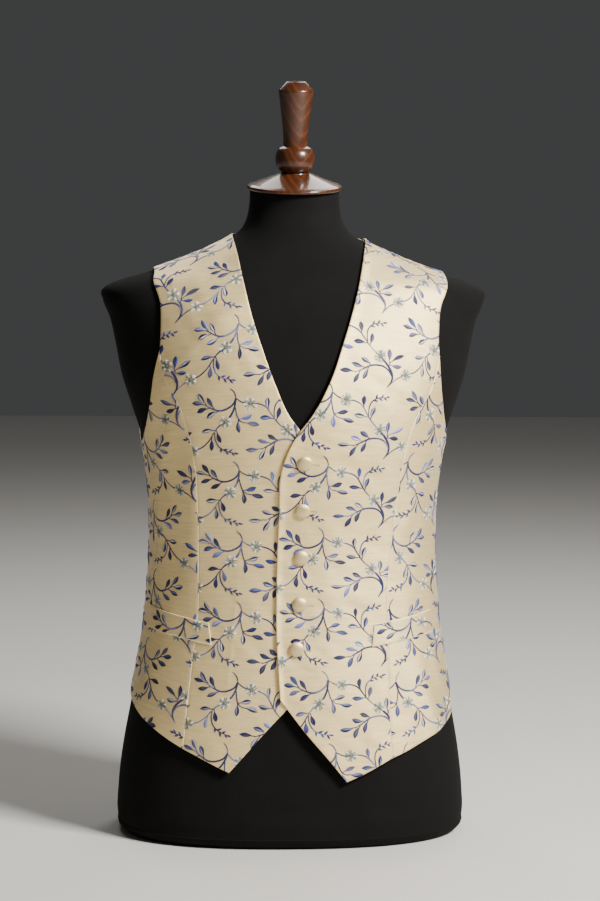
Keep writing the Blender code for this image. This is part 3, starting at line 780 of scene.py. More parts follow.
def add_piece(mesh: Mesh, material: Material, stands_for: str = "") -> Object:
    """Put a mesh in the scene as a piece that rides on the one body.

    Args:
        mesh: the piece's mesh, which has its name.
        material: its finish.
        stands_for: the solid that it replaces, if any.

    Returns:
        The piece.
    """
    mesh.materials.append(material)
    piece = add_object(mesh.name, mesh)
    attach(piece, "root")
    if stands_for:
        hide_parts(stands_for)
    return piece


def ring_faces(rings: int, sides: int, inward: bool = False) -> list[list[int]]:
    """Join rings of points that lie over each other.

    Args:
        rings: how many there are.
        sides: points in each.
        inward: True where the rings run the other way round.

    Returns:
        A face at each end, then the faces between the rings.
    """
    last = (rings - 1) * sides
    faces = [list(range(sides))[::-1], list(range(last, last + sides))]
    if inward:
        faces = [face[::-1] for face in faces]
    for low in range(0, last, sides):
        for k in range(sides):
            beside = low + (k + 1) % sides
            around = [beside, beside + sides, low + k + sides]
            faces.append([low + k] + (around[::-1] if inward else around))
    return faces


def turned_mesh(name: str, profile: Rows, sides: int, axes: Array, base: Array) -> Mesh:
    """Turn a profile round an axis.

    Args:
        name: the mesh's name.
        profile: radius and height of each ring, from the bottom up.
        sides: points round each ring.
        axes: rows are the first and second flat direction and the axis.
        base: where the axis starts.

    Returns:
        A closed mesh with a flat face at each end.
    """
    angle = 2 * np.pi * np.arange(sides) / sides
    flat = np.cos(angle)[:, None] * axes[0] + np.sin(angle)[:, None] * axes[1]
    points = np.concatenate([base + flat * radius + axes[2] * height for radius, height in profile])
    return new_mesh(name, points.tolist(), ring_faces(len(profile), sides), sharp=40.0)


class Tone(Enum):
    """Silk floss of the embroidery: the dark and the light end of each skein."""

    NAVY = (linear(24, 26, 62), linear(58, 63, 122))
    BLUE = (linear(38, 47, 102), linear(92, 106, 170))
    SLATE = (linear(38, 40, 66), linear(88, 92, 130))
    PERIWINKLE = (linear(88, 96, 160), linear(164, 172, 216))
    GREY = (linear(76, 75, 108), linear(130, 130, 164))
    PALE = (linear(186, 188, 214), linear(236, 236, 244))
    SILVER = (linear(168, 166, 150), linear(238, 236, 226))
    MOSS = (linear(74, 78, 66), linear(130, 132, 112))
    TAN = (linear(168, 140, 96), linear(222, 203, 160))


@dataclass(frozen=True)
class Branch:
    """A stem of the repeat, by its points in millimetres."""

    points: tuple[tuple[float, float], ...]
    width: float = 1.5
    sprig: int = 0
    faint: bool = False


@dataclass(frozen=True)
class TrailChart:
    """The charted repeat of the leaf trail, in millimetres, x across and y up."""

    width: float = 140.0
    height: float = 84.0
    branches: tuple[Branch, ...] = (
        Branch(((0, 0), (-2, 6), (-7, 11)), 1.5),
        Branch(((0, 0), (-3, -7), (-10, -12), (-19, -14), (-28, -11), (-38, -5)), 2.3),
        Branch(((0, 0), (-1, -7), (-3, -14), (-7, -21), (-13, -27), (-21, -32), (-27, -39)), 2.5),
        Branch(((-27, -39), (-33, -48), (-42, -56), (-53, -60), (-64, -65), (-75, -75)), 1.7, faint=True),
        Branch(((-26, -38), (-26, -47), (-22, -56), (-15, -61), (-4, -64)), 1.6, sprig=6),
        Branch(((-1, -10), (0, -18), (3, -26), (9, -30)), 1.6),
        Branch(
            ((0, -1), (7, -6), (16, -8), (26, -9), (34, -13), (39, -20), (44, -28), (50, -35), (57, -41)), 1.8
        ),
        Branch(((57, -41), (65, -50), (70, -59), (70, -67), (64, -76)), 2.9),
        Branch(((70, -63), (66, -56), (60, -52), (52, -51), (45, -52), (37, -56), (26, -61)), 2.3),
        Branch(((43, -26), (43, -18), (45, -11), (50, -6), (64, -3)), 1.6, sprig=6),
        Branch(((66, -52), (68, -49), (69, -46)), 1.2, faint=True),
    )
    leaves: tuple[Row, ...] = (
        (-36, -6, -52, -3), (-34, -7, -44, 7), (-25, -12, -33, 2), (-31, -10, -46, -15),
        (-20, -14, -35, -22), (-25, -36, -41, -38), (-24, -36, -20, -51), (-30, -44, -31, -60),
        (2, -25, 18, -21), (2, -24, 3, -41), (8, -29, 26, -33), (37, -17, 37, -3), (43, -27, 26, -25),
        (45, -30, 50, -15), (47, -52, 34, -44), (39, -55, 23, -50), (27, -60, 8, -60), (43, -53, 36, -68),
        (33, -58, 24, -73), (67, -48, 68, -31), (68, -47, 87, -37), (67, -50, 82, -51),
    )
    flowers: tuple[Row, ...] = (
        (-13, -27, 8.4), (16, -8, 8.1), (57, -41, 8.6), (-53, -60, 7.8),
    )


# The columns of a stitch's row: where it starts and ends, its width, crown, bend and rest, its colours.
START, END = slice(0, 2), slice(2, 4)
WIDTH, CROWN, BEND, REST = 4, 5, 6, 7
FIRST_COLOUR, LAST_COLOUR = slice(8, 11), slice(11, 14)
ACROSS = np.array([-1.0, 0.0, 1.0])


def aimed(angle: float) -> Array:
    """Return the flat direction at an angle in radians."""
    return np.array([math.cos(angle), math.sin(angle)])


def left_of(axis: Array) -> Array:
    """Return the flat direction a quarter turn to the left."""
    return np.array([-axis[1], axis[0]])


@dataclass
class Stitches:
    """Stitches on flat cloth, in millimetres, that become one mesh over a panel."""

    seed: int
    rows: list[tuple[float, ...]] = field(default_factory=list)
    stations: int = 5
    stem_step: float = 1.35
    stem_overlap: tuple[float, float] = (-0.5, 1.7)
    skein_wave: float = 13.0
    leaf_width: float = 5.4
    leaf_fullness: float = 0.36
    stalk: float = 0.20
    satin_step: float = 0.66
    petals: int = 5
    petal_rows: tuple[float, ...] = (-1.0, 1.0, -0.66, 0.66, -0.33, 0.33, 0.0)
    stamens: int = 6
    thickness: float = 0.12
    tuck: float = 0.02

    def __post_init__(self) -> None:
        """Start the draws from the seed."""
        self.draw = random.Random(self.seed)

    def shade(self, tone: Tone, share: float) -> Colour:
        """Draw a colour of a skein, with a slight jitter.

        Args:
            tone: the skein.
            share: 0 for its dark end, 1 for its light one.

        Returns:
            The colour.
        """
        dark, light = tone.value
        share = min(1.0, max(0.0, share))
        jitter = self.draw.uniform(0.88, 1.12)
        return tuple((a + (b - a) * share) * jitter for a, b in zip(dark, light))

    def shades(self, tone: Tone, first: float, last: float) -> tuple[Colour, Colour]:
        """Return a stitch's two colours, both of one skein."""
        return self.shade(tone, first), self.shade(tone, last)

    def stitch(
        self, start: Array, end: Array, width: float, crown: float, colours: tuple[Colour, Colour],
        bend: float = 0.0, rest: float = 0.05
    ) -> None:
        """Lay one stitch.

        Args:
            start: where it comes out of the cloth.
            end: where it goes back in.
            width: its width.
            crown: how high its middle stands over its ends.
            colours: colour at the start and at the end.
            bend: how far its middle bows to the left.
            rest: how high its ends stand over the cloth.
        """
        self.rows.append((*start, *end, width, crown, bend, rest, *colours[0], *colours[1]))

    def stem(self, points: Array, width: float, phase: float, faint: bool) -> None:
        """Sew a stem in slanted, overlapping stitches.

        Args:
            points: its path.
            width: its greatest width.
            phase: where in its changing tones the skein starts.
            faint: True where more of it is grey.
        """
        travel = travelled(points)
        count = max(3, round(travel[-1] / self.stem_step))
        for k in range(count):
            share = (k + 0.5) / count
            a, b = [min(max((k + d) / count, 0.0), 1.0) * travel[-1] for d in self.stem_overlap]
            start, end = [np.array([np.interp(s, travel, points[:, i]) for i in range(2)]) for s in (a, b)]
            run = end - start
            side = left_of(run) / max(float(norm(run)), 1e-6)
            fall = min(1.0, max(0.0, (share - 0.55) / 0.45))
            taper = width * (0.78 + 0.22 * math.sin(math.pi * share)) * (1 - 0.55 * fall * fall)
            wave = 0.5 + 0.5 * math.sin(phase + travel[-1] * share / self.skein_wave)
            tone = Tone.NAVY if wave < 0.3 else Tone.SLATE
            if wave > (0.5 if faint else 0.88):
                tone = Tone.GREY
            slant = side * taper * 0.26
            # Painted shade and highlight across the twisted stem: each stitch runs from a darker start to a
            # lighter end; the wave is the skein's own variegation.
            colours = self.shades(tone, 0.05 + wave * 0.2, 0.3 + wave * 0.5)
            self.stitch(start - slant, end + slant, taper * 0.94, 0.45, colours, rest=0.04)

    def leaf(self, base: Array, tip: Array, tone: Tone) -> None:
        """Sew a pointed leaf on a short stalk, its two halves in slanted satin stitches.

        Args:
            base: where its stalk starts.
            tip: where it ends.
            tone: its skein; one half is drawn brighter as painted sheen, and may be in a mate's tone.
        """
        run = tip - base
        length = float(norm(run))
        axis = run / length
        side = left_of(axis)
        width = min(self.leaf_width, self.leaf_fullness * length) * self.draw.uniform(0.88, 1.08)
        curl = self.draw.uniform(-1.1, 1.1)
        blade = 1 - self.stalk
        count = max(8, round(length * blade / self.satin_step))
        # Painted sheen: one half of the leaf is drawn brighter than the other, in its own or a mate's tone,
        # and each half is lightest by the midrib and along the middle of the leaf.
        sheen_strength = self.draw.uniform(0.35, 1.0)
        hand = self.draw.choice((-1, 1))
        mate = self.draw.choice((tone, tone, Tone.PERIWINKLE, Tone.PALE))
        colours = self.shades(tone, 0.1, 0.35)
        self.stitch(base - axis * 0.6, base + axis * length * 0.34, 1.25, 0.34, colours)
        for k in range(count):
            share = (k + 0.5) / count
            place = share**0.92
            half = width / 2 * (4 * place * (1 - place)) ** 1.2
            along = self.stalk + blade * share
            rib = base + run * along + side * curl * math.sin(math.pi * along)
            for turn in (-1, 1):
                lean = min(0.75 * half + 0.4, (1.02 - along) * length + 0.3)
                start = rib - axis * lean * 0.35 - side * turn * 0.12
                end = rib + axis * lean * 0.65 + side * turn * half
                sheen_share = sheen_strength if turn == hand else sheen_strength * 0.3
                inner = mate if turn == hand else tone
                glow = math.sin(math.pi * min(1.0, share * 1.2)) * sheen_share
                colours = (self.shade(inner, glow), self.shade(tone, glow * 0.5))
                self.stitch(start, end, 1.0, 0.26 + 0.14 * half, colours, rest=0.06)

    def small_leaf(self, base: Array, aim: float, length: float, tone: Tone) -> None:
        """Sew a tiny leaf of three long stitches.

        Args:
            base: where it starts.
            aim: its direction in radians.
            length: its length.
            tone: its skein.
        """
        axis = aimed(aim)
        side = left_of(axis)
        for offset in (-0.62, 0.62, 0.0):
            share = 0.82 if offset else 1.0
            start = base + side * offset * 0.4
            end = base + axis * length * share + side * offset * 0.7
            self.stitch(start, end, 1.2, 0.36, self.shades(tone, 0.1, 0.6), bend=offset * 0.5)

    def flower(self, centre: Array, size: float, turn: float) -> None:
        """Sew a silver flower of round petals on a moss-grey ground.

        Args:
            centre: its middle.
            size: the length of a petal.
            turn: the first petal's direction in radians.
        """
        for k in range(2 * self.petals):
            axis = aimed(turn + math.pi * (k + 0.5) / self.petals)
            colours = self.shades(Tone.MOSS, 0.1, 0.7)
            self.stitch(centre, centre + axis * size * 0.66, 1.5, 0.16, colours, rest=0.0)
        for petal in range(self.petals):
            aim = turn + 2 * math.pi * petal / self.petals
            self.petal(centre, size, aim + self.draw.uniform(-0.14, 0.14))
        for k in range(self.stamens):
            axis = aimed(turn + 2 * math.pi * k / self.stamens)
            colours = self.shades(Tone.MOSS, 0.1, 0.9)
            self.stitch(centre - axis * 0.4, centre + axis * 1.6, 1.0, 0.42, colours, rest=0.46)

    def petal(self, centre: Array, size: float, aim: float) -> None:
        """Sew one petal in rows of stitches, its outer rows darker, with a bright one on top.

        Args:
            centre: the flower's middle.
            size: the petal's length, about.
            aim: its direction in radians.
        """
        axis = aimed(aim)
        side = left_of(axis)
        reach = size * self.draw.uniform(0.84, 1.08)
        fill = self.draw.uniform(0.36, 0.44) * size
        glow = self.draw.uniform(0.55, 1.0)
        for off in self.petal_rows:
            half = 0.40 * reach * math.sqrt(1 - 0.86 * off * off)
            middle = centre + axis * 0.58 * reach + side * off * fill
            ends = (middle - axis * half - side * off * fill * 0.5, middle + axis * half)
            outer = Tone.SILVER if abs(off) < 0.9 or glow > 0.8 else Tone.MOSS
            first = self.shade(Tone.MOSS, 0.9 - 0.4 * abs(off))
            colours = (first, self.shade(outer, glow * (1 - 0.9 * abs(off))))
            self.stitch(*ends, 1.5, 0.42, colours, bend=-off * 0.5, rest=0.12)
        ends = (centre + axis * reach * 0.42, centre + axis * reach * 0.92)
        self.stitch(*ends, 1.1, 0.30, self.shades(Tone.SILVER, 0.8, 1.0), rest=0.42)

    def trim(self, table: Array, panel: Panel, marks: int = 7, fewest: int = 3) -> Array:
        """Cut every stitch back to the stretch that lies on the cloth, or drop it.

        Args:
            table: a row for each stitch.
            panel: the cloth.
            marks: places along each stitch that are tested.
            fewest: marks in a row that a stitch needs to be kept.

        Returns:
            The rows that are kept.
        """
        shares = np.linspace(0.0, 1.0, marks)
        start, end = table[:, START], table[:, END]
        places = start[:, None] + (end - start)[:, None] * shares[None, :, None]
        _, _, away = panel.locate(places.reshape(-1, 2) * MM)
        on = (away < 0.02 * MM).reshape(len(table), marks)
        kept = []
        for row, inside in zip(table, on):
            if inside.all():
                kept.append(row)
                continue
            first = int(inside.argmax())
            last = first + int(np.argmin(np.append(inside[first:], False)))
            if not inside.any() or last - first < fewest:
                continue
            row = row.copy()
            a, b = row[START].copy(), row[END].copy()
            row[START], row[END] = a + (b - a) * shares[first], a + (b - a) * shares[last - 1]
            row[BEND] = 0.0
            kept.append(row)
        return np.array(kept)

    def build(self, name: str, panel: Panel, material: Material) -> Object:
        """Make the stitches one mesh: for each an arched ribbon, two faces wide.

        Args:
            name: the piece's name.
            panel: the cloth.
            material: the thread.

        Returns:
            The piece.
        """
        table = self.trim(np.array(self.rows), panel)
        t = np.linspace(0.0, 1.0, self.stations)
        run = table[:, END] - table[:, START]
        length = np.maximum(norm(run, axis=1), 1e-6)
        side = np.stack([-run[:, 1], run[:, 0]], -1) / length[:, None]
        arch = 4 * t * (1 - t)
        middle = table[:, None, START] + run[:, None] * t[None, :, None]
        middle += side[:, None] * (table[:, BEND, None] * arch[None])[..., None]
        half = table[:, WIDTH, None] / 2 * np.sqrt(np.sin(np.pi * (0.1 + 0.8 * t)))[None]
        crest = table[:, REST, None] + table[:, CROWN, None] * np.sqrt(arch)[None] + self.thickness
        places = middle[:, :, None] + side[:, None, None] * (half[..., None] * ACROSS)[..., None]
        edge = table[:, REST, None, None] + self.tuck
        heights = edge + (crest[..., None] - edge) * (1 - np.abs(ACROSS))
        points = panel.place(places.reshape(-1, 2) * MM, heights.ravel() * MM)
        first, last = table[:, FIRST_COLOUR], table[:, LAST_COLOUR]
        colours = first[:, None] + (last - first)[:, None] * t[None, :, None]
        colours = np.repeat(colours[:, :, None], 3, axis=2).reshape(-1, 3)
        return self.join(name, points, colours, material)

    def join(self, name: str, points: Array, colours: Array, material: Material) -> Object:
        """Join the ribbons, with the thread's colour and its strands as layers of the mesh.

        Args:
            name: the piece's name.
            points: three points at each station of each stitch.
            colours: the thread's colour at each point.
            material: the thread.

        Returns:
            The piece.
        """
        size = 3 * self.stations
        count = len(points) // size
        cells = np.array([(a, a + 1, a + 4, a + 3) for low in range(0, size - 3, 3) for a in (low, low + 1)])
        faces = (cells[None] + size * np.arange(count)[:, None, None]).reshape(-1, 4)
        mesh = new_mesh(name, points.tolist(), faces[:, ::-1].tolist())
        layer = mesh.color_attributes.new("thread_colour", "FLOAT_COLOR", "POINT")
        opaque = np.column_stack([colours, np.ones(len(colours))])
        layer.data.foreach_set("color", opaque.astype(np.float32).ravel())
        along = (np.arange(len(points)) // 3 % self.stations) / (self.stations - 1)
        across = np.tile(ACROSS, count * self.stations)
        add_uv(mesh, "strands", np.stack([across * 0.5 + 0.5, along], -1))
        LOG.info("%s: %d faces", name, len(faces))
        return add_piece(mesh, material)


@dataclass(frozen=True)
class TrailPlace:
    """Where a panel's trail lies: its joint in the front view, its hand, and how it leans and sways."""

    joint: Row
    hand: int = 1
    lean: float = 0.0
    sway: float = 0.0


@dataclass
class LeafTrail:
    """The embroidered trail, sewn over a panel from where its first joint sits."""

    chart: TrailChart = field(default_factory=TrailChart)
    fine: int = 14
    wander: float = 0.7
    margin: float = 9.0
    sprig_start: float = 0.56
    sprig_length: float = 0.44
    tones: tuple[Tone, ...] = (
        Tone.NAVY, Tone.BLUE, Tone.NAVY, Tone.GREY, Tone.NAVY, Tone.BLUE, Tone.SLATE, Tone.PERIWINKLE,
        Tone.NAVY, Tone.NAVY, Tone.SLATE, Tone.SLATE
    )

    def sew(self, panel: Panel, place: TrailPlace, seed: int, material: Material) -> None:
        """Sew the trail over a panel, as one piece.

        Args:
            panel: the cloth.
            place: where the trail lies on it.
            seed: starts the draws of tone and jitter.
            material: the thread.
        """
        stitches = Stitches(seed)
        start = panel.flat_place(*place.joint) / MM
        flat = panel.flat.reshape(-1, 2) / MM
        box = np.stack([flat.min(axis=0), flat.max(axis=0)])
        turn = math.radians(place.lean)
        axes = np.array([[math.cos(turn), -math.sin(turn)], [math.sin(turn), math.cos(turn)]])
        flip = np.array([place.hand, 1])
        size = np.array([self.chart.width, self.chart.height])
        cells = (flat - start) @ axes / size
        first = np.floor(cells.min(axis=0)).astype(int) - 1
        last = np.ceil(cells.max(axis=0)).astype(int) + 2
        for column in range(first[0], last[0]):
            for row in range(first[1], last[1]):
                offset = size * (column, row)

                def lay(points: object) -> Array:
                    """Lay charted points on the flat cloth.

                    Args:
                        points: their places on the chart.

                    Returns:
                        Their places on the cloth.
                    """
                    charted = np.asarray(points, dtype=float) * flip + offset
                    rise = np.maximum(charted[..., 1], 0.0)
                    swayed = charted + np.stack([place.sway * rise**2, np.zeros(rise.shape)], -1)
                    return swayed @ axes.T + start

                self.motif(stitches, lay, box)
        stitches.build(f"embroidery_{panel.node}", panel, material)

    def motif(self, stitches: Stitches, lay: Callable[[object], Array], box: Array) -> None:
        """Sew one repeat, leaving out what lies clear of the cloth.

        Args:
            stitches: what it is sewn into.
            lay: lays charted points on the cloth.
            box: the cloth's flat box.
        """
        draw = stitches.draw
        for branch in self.chart.branches:
            path = lay(smooth_line(np.array(branch.points, dtype=float), self.fine))
            if not self.near(path, box):
                continue
            stitches.stem(path, branch.width, draw.uniform(0, 6.28), branch.faint)
            if branch.sprig:
                self.add_sprig(stitches, path, branch.sprig)
        for x, y, tip_x, tip_y in self.chart.leaves:
            shift = [draw.uniform(-self.wander, self.wander), draw.uniform(-self.wander, self.wander)]
            ends = lay([(x, y), (tip_x, tip_y)]) + np.array([[0.0, 0.0], shift])
            if self.near(ends, box):
                stitches.leaf(ends[0], ends[1], draw.choice(self.tones))
        for x, y, size in self.chart.flowers:
            centre = lay((x, y))
            if self.near(centre[None], box):
                stitches.flower(centre, size, draw.uniform(0, 1.2))

    def near(self, path: Array, box: Array) -> bool:
        """Return whether a path comes near the cloth's flat box."""
        return bool(((path > box[0] - self.margin) & (path < box[1] + self.margin)).all(axis=1).any())

    def add_sprig(self, stitches: Stitches, path: Array, count: int) -> None:
        """Put tiny leaves in pairs on the last half of a stem, with one at its end.

        Args:
            stitches: what they are sewn into.
            path: the stem.
            count: how many there are.
        """
        travel = travelled(path)
        draw = stitches.draw
        for k in range(count):
            reach = (self.sprig_start + self.sprig_length * k / (count - 1)) * travel[-1]
            near = [
                np.array([np.interp(reach + d, travel, path[:, i]) for i in range(2)]) for d in (-1.2, 1.2)
            ]
            run = near[1] - near[0]
            swing = 0.0 if k == count - 1 else math.radians(draw.uniform(36, 58)) * (1 if k % 2 else -1)
            tone = draw.choice((Tone.NAVY, Tone.NAVY, Tone.SLATE, Tone.BLUE))
            aim = math.atan2(run[1], run[0]) + swing
            stitches.small_leaf(near[0] * 0.5 + near[1] * 0.5, aim, draw.uniform(5.0, 6.4), tone)


def new_group(name: str, inputs: dict[str, float | None], outputs: Sequence[str]) -> tuple:
    """Start a shader node group.

    Args:
        name: the group's name.
        inputs: each input's default, or None where it is a vector.
        outputs: the outputs, which are plain values.

    Returns:
        The group with its input and output nodes.
    """
    group = bpy.data.node_groups.new(name, "ShaderNodeTree")
    for label, default in inputs.items():
        kind = "NodeSocketVector" if default is None else "NodeSocketFloat"
        socket = group.interface.new_socket(name=label, in_out="INPUT", socket_type=kind)
        if default is not None:
            socket.default_value = default
    for label in outputs:
        group.interface.new_socket(name=label, in_out="OUTPUT", socket_type="NodeSocketFloat")
    return group, group.nodes.new("NodeGroupInput"), group.nodes.new("NodeGroupOutput")


def feed(tree: NodeTree, made: Node, **values: object) -> None:
    """Feed a node's inputs; in their names an underscore stands for a space.

    Args:
        tree: the node's tree.
        made: the node.
        values: a plain value or the socket that it is linked to, for each input.
    """
    for key, value in values.items():
        socket = made.inputs[key.replace("_", " ")]
        if isinstance(value, NodeSocket):
            tree.links.new(value, socket)
        else:
            socket.default_value = value


def node(tree: NodeTree, kind: str, **values: object) -> Node:
    """Add a node.

    Args:
        tree: the node's tree.
        kind: its type.
        values: inputs, which start with a capital, and properties, which don't.

    Returns:
        The node.
    """
    made = tree.nodes.new(kind)
    for key, value in values.items():
        if key[0].islower():
            setattr(made, key, value)
        else:
            feed(tree, made, **{key: value})
    return made


def math_node(tree: NodeTree, operation: str, first: object, second: object) -> NodeSocket:
    """Add a Math node.

    Args:
        tree: the node's tree.
        operation: what it does.
        first: its first input, a number or a socket.
        second: its second input, a number or a socket.

    Returns:
        Its output.
    """
    made = node(tree, "ShaderNodeMath", operation=operation)
    for socket, value in zip(made.inputs, (first, second)):
        if isinstance(value, float):
            socket.default_value = value
        else:
            tree.links.new(value, socket)
    return made.outputs[0]


def shaded(tree: NodeTree, colour: NodeSocket, *shades: NodeSocket) -> NodeSocket:
    """Return a colour multiplied by each shade."""
    for shade in shades:
        colour = node(tree, "ShaderNodeVectorMath", operation="SCALE", Vector=colour, Scale=shade).outputs[0]
    return colour


class Effects:
    """Shader node groups that several finishes share."""

    def __init__(self) -> None:
        """Build each group once."""
        self.weave = self.make_weave()
        self.strands = self.make_strands()
        self.age = self.make_age()

    @staticmethod
    def make_weave() -> NodeTree:
        """Make a plain weave with slubs in the weft, over cloth measured in metres.

        Returns:
            The group.
        """
        inputs = {"Cloth": None, "Threads per mm": 2.2, "Slub": 1.0}
        group, into, out = new_group("slubbed_weave", inputs, ("Shade", "Height", "Slub mask"))
        calc = partial(math_node, group)
        wave = partial(node, group, "ShaderNodeTexWave")
        noise = partial(node, group, "ShaderNodeTexNoise", Scale=1.0)
        cloth = into.outputs["Cloth"]
        density = calc("MULTIPLY", into.outputs["Threads per mm"], 1000.0)
        threads = shaded(group, cloth, density)
        weft = wave(bands_direction="Y", Vector=threads, Scale=0.31, Distortion=0.6, Detail=1.0)
        warp = wave(bands_direction="X", Vector=threads, Scale=0.42, Distortion=0.3, Detail=1.0)
        long_slub = node(group, "ShaderNodeMapping", Vector=cloth, Scale=(45.0, 1500.0, 1.0))
        slub = noise(Vector=long_slub.outputs[0], Detail=3.0, Roughness=0.55)
        broad = node(group, "ShaderNodeMapping", Vector=cloth, Scale=(14.0, 260.0, 1.0))
        bars = noise(Vector=broad.outputs[0], Detail=2.0, Roughness=0.5)
        thick = calc("MULTIPLY", calc("SUBTRACT", slub.outputs[0], 0.5), into.outputs["Slub"])
        cross = calc("ADD", calc("MULTIPLY", weft.outputs[1], 0.6), calc("MULTIPLY", warp.outputs[1], 0.25))
        uneven = calc("MULTIPLY", calc("SUBTRACT", bars.outputs[0], 0.5), 0.22)
        shade = calc("ADD", calc("MULTIPLY", thick, 0.55), uneven)
        shade = calc("ADD", shade, calc("MULTIPLY", cross, 0.10))
        height = calc("ADD", cross, calc("MULTIPLY", thick, 1.6))
        feed(group, out, Shade=calc("ADD", shade, 0.92), Height=height, Slub_mask=calc("ADD", thick, 0.5))
        return group

    @staticmethod
    def make_strands() -> NodeTree:
        """Make fine filaments along a stitch, over its own across and along places.

        Returns:
            The group.
        """
        inputs = {"Strands": None, "Filaments": 7.0}
        group, into, out = new_group("silk_strands", inputs, ("Shade", "Height"))
        calc = partial(math_node, group)
        joined = node(group, "ShaderNodeCombineXYZ", X=into.outputs["Filaments"], Y=1.2)
        stretch = node(group, "ShaderNodeVectorMath", operation="MULTIPLY", Vector=into.outputs["Strands"])
        group.links.new(joined.outputs[0], stretch.inputs[1])
        noise = node(
            group, "ShaderNodeTexNoise", Vector=stretch.outputs[0], Scale=1.0, Detail=2.0, Roughness=0.5
        )
        shade = calc("ADD", calc("MULTIPLY", noise.outputs[0], 0.5), 0.75)
        feed(group, out, Shade=shade, Height=noise.outputs[0])
        return group

    @staticmethod
    def make_age() -> NodeTree:
        """Make a faint mottling of cloth, wood or cover, in the object's own place.

        Returns:
            The group.
        """
        group, into, out = new_group("age_mottle", {"Place": None, "Size": 9.0, "Amount": 0.1}, ("Shade",))
        calc = partial(math_node, group)
        place, size = into.outputs["Place"], into.outputs["Size"]
        noise = node(group, "ShaderNodeTexNoise", Vector=place, Scale=size, Detail=4.0, Roughness=0.6)
        swing = calc("MULTIPLY", calc("SUBTRACT", noise.outputs[0], 0.5), into.outputs["Amount"])
        feed(group, out, Shade=calc("ADD", swing, 1.0))
        return group


@dataclass(frozen=True)
class Finish:
    """What every finish has: a name, its colour and its roughness."""

    name: str
    colour: Colour
    roughness: float

    def start(self) -> tuple[Material, NodeTree, Node]:
        """Start the finish's material.

        Returns:
            The material, its tree and its shader.
        """
        material = bpy.data.materials.new(self.name)
        material.use_nodes = True
        material.diffuse_color = (*self.colour, 1.0)
        shader = material.node_tree.nodes["Principled BSDF"]
        shader.inputs["Roughness"].default_value = self.roughness
        return material, material.node_tree, shader

    def tint(self, tree: NodeTree, *shades: NodeSocket) -> NodeSocket:
        """Multiply the finish's colour by shades.

        Args:
            tree: the material's tree.
            shades: the shades.

        Returns:
            The colour.
        """
        colour = node(tree, "ShaderNodeRGB")
        colour.outputs[0].default_value = (*self.colour, 1.0)
        return shaded(tree, colour.outputs[0], *shades)

    @staticmethod
    def aged(tree: NodeTree, effects: Effects, size: float, amount: float) -> NodeSocket:
        """Mottle the finish.

        Args:
            tree: the material's tree.
            effects: the shared groups.
            size: how fine the mottling is.
            amount: how strong it is.

        Returns:
            Its shade.
        """
        place = node(tree, "ShaderNodeTexCoord").outputs["Object"]
        age = node(tree, "ShaderNodeGroup", node_tree=effects.age, Place=place, Size=size, Amount=amount)
        return age.outputs["Shade"]

    @staticmethod
    def bump(tree: NodeTree, shader: Node, height: NodeSocket, depth: float, strength: float = 1.0) -> None:
        """Feed a height, as millimetres of depth, to the shader's normal."""
        made = node(tree, "ShaderNodeBump", Strength=strength, Distance=depth * MM, Height=height)
        feed(tree, shader, Normal=made.outputs[0])


@dataclass(frozen=True)
class Silk(Finish):
    """Slubbed silk with a soft sheen."""

    threads: float = 2.2
    slub: float = 1.0
    sheen: float = 0.25
    relief: float = 0.09
    mapped: bool = True

    def make(self, effects: Effects) -> Material:
        """Return the silk's material, made from the shared groups."""
        material, tree, shader = self.start()
        if self.mapped:
            cloth = node(tree, "ShaderNodeUVMap", uv_map="cloth").outputs[0]
        else:
            cloth = node(tree, "ShaderNodeTexCoord").outputs["Object"]
        weave = node(
            tree, "ShaderNodeGroup", node_tree=effects.weave, Threads_per_mm=self.threads, Slub=self.slub,
            Cloth=cloth
        )
        colour = self.tint(tree, weave.outputs["Shade"], self.aged(tree, effects, 14.0, 0.14))
        rough = math_node(tree, "MULTIPLY", weave.outputs["Slub mask"], 0.16)
        rough = math_node(tree, "ADD", rough, self.roughness - 0.08)
        feed(tree, shader, Base_Color=colour, Roughness=rough, Metallic=0.8)
        feed(tree, shader, Sheen_Weight=self.sheen, Sheen_Roughness=0.4)
        self.bump(tree, shader, weave.outputs["Height"], self.relief)
        return material


@dataclass(frozen=True)
class Floss(Finish):
    """Embroidery floss: its colour comes with each stitch, unless it is plain."""

    sheen: float = 0.2
    from_stitches: bool = True

    def make(self, effects: Effects) -> Material:
        """Return the floss's material, made from the shared groups."""
        material, tree, shader = self.start()
        places = node(tree, "ShaderNodeUVMap", uv_map="strands").outputs[0]
        strands = node(tree, "ShaderNodeGroup", node_tree=effects.strands, Strands=places)
        shade = strands.outputs["Shade"]
        if self.from_stitches:
            thread = node(tree, "ShaderNodeAttribute", attribute_name="thread_colour")
            colour = shaded(tree, thread.outputs["Color"], shade)
        else:
            colour = self.tint(tree, shade)
        feed(tree, shader, Base_Color=colour, Sheen_Weight=self.sheen, Sheen_Roughness=0.3, Anisotropic=0.5)
        self.bump(tree, shader, strands.outputs["Height"], 0.06, 0.7)
        return material


@dataclass(frozen=True)
class Jersey(Finish):
    """Knitted black cover, matte."""

    def make(self, effects: Effects) -> Material:
        """Return the jersey's material, made from the shared groups."""
        material, tree, shader = self.start()
        place = node(tree, "ShaderNodeTexCoord").outputs["Object"]
        wave = partial(node, tree, "ShaderNodeTexWave", Vector=place, Detail=2.0)
        knit = wave(bands_direction="DIAGONAL", Scale=210.0, Distortion=2.0)
        rows = wave(bands_direction="Z", Scale=260.0, Distortion=1.2)
        colour = self.tint(tree, self.aged(tree, effects, 22.0, 0.7))
        feed(tree, shader, Base_Color=colour, Specular_IOR_Level=0.12)
        self.bump(tree, shader, math_node(tree, "ADD", knit.outputs[1], rows.outputs[1]), 0.10, 0.8)
        return material


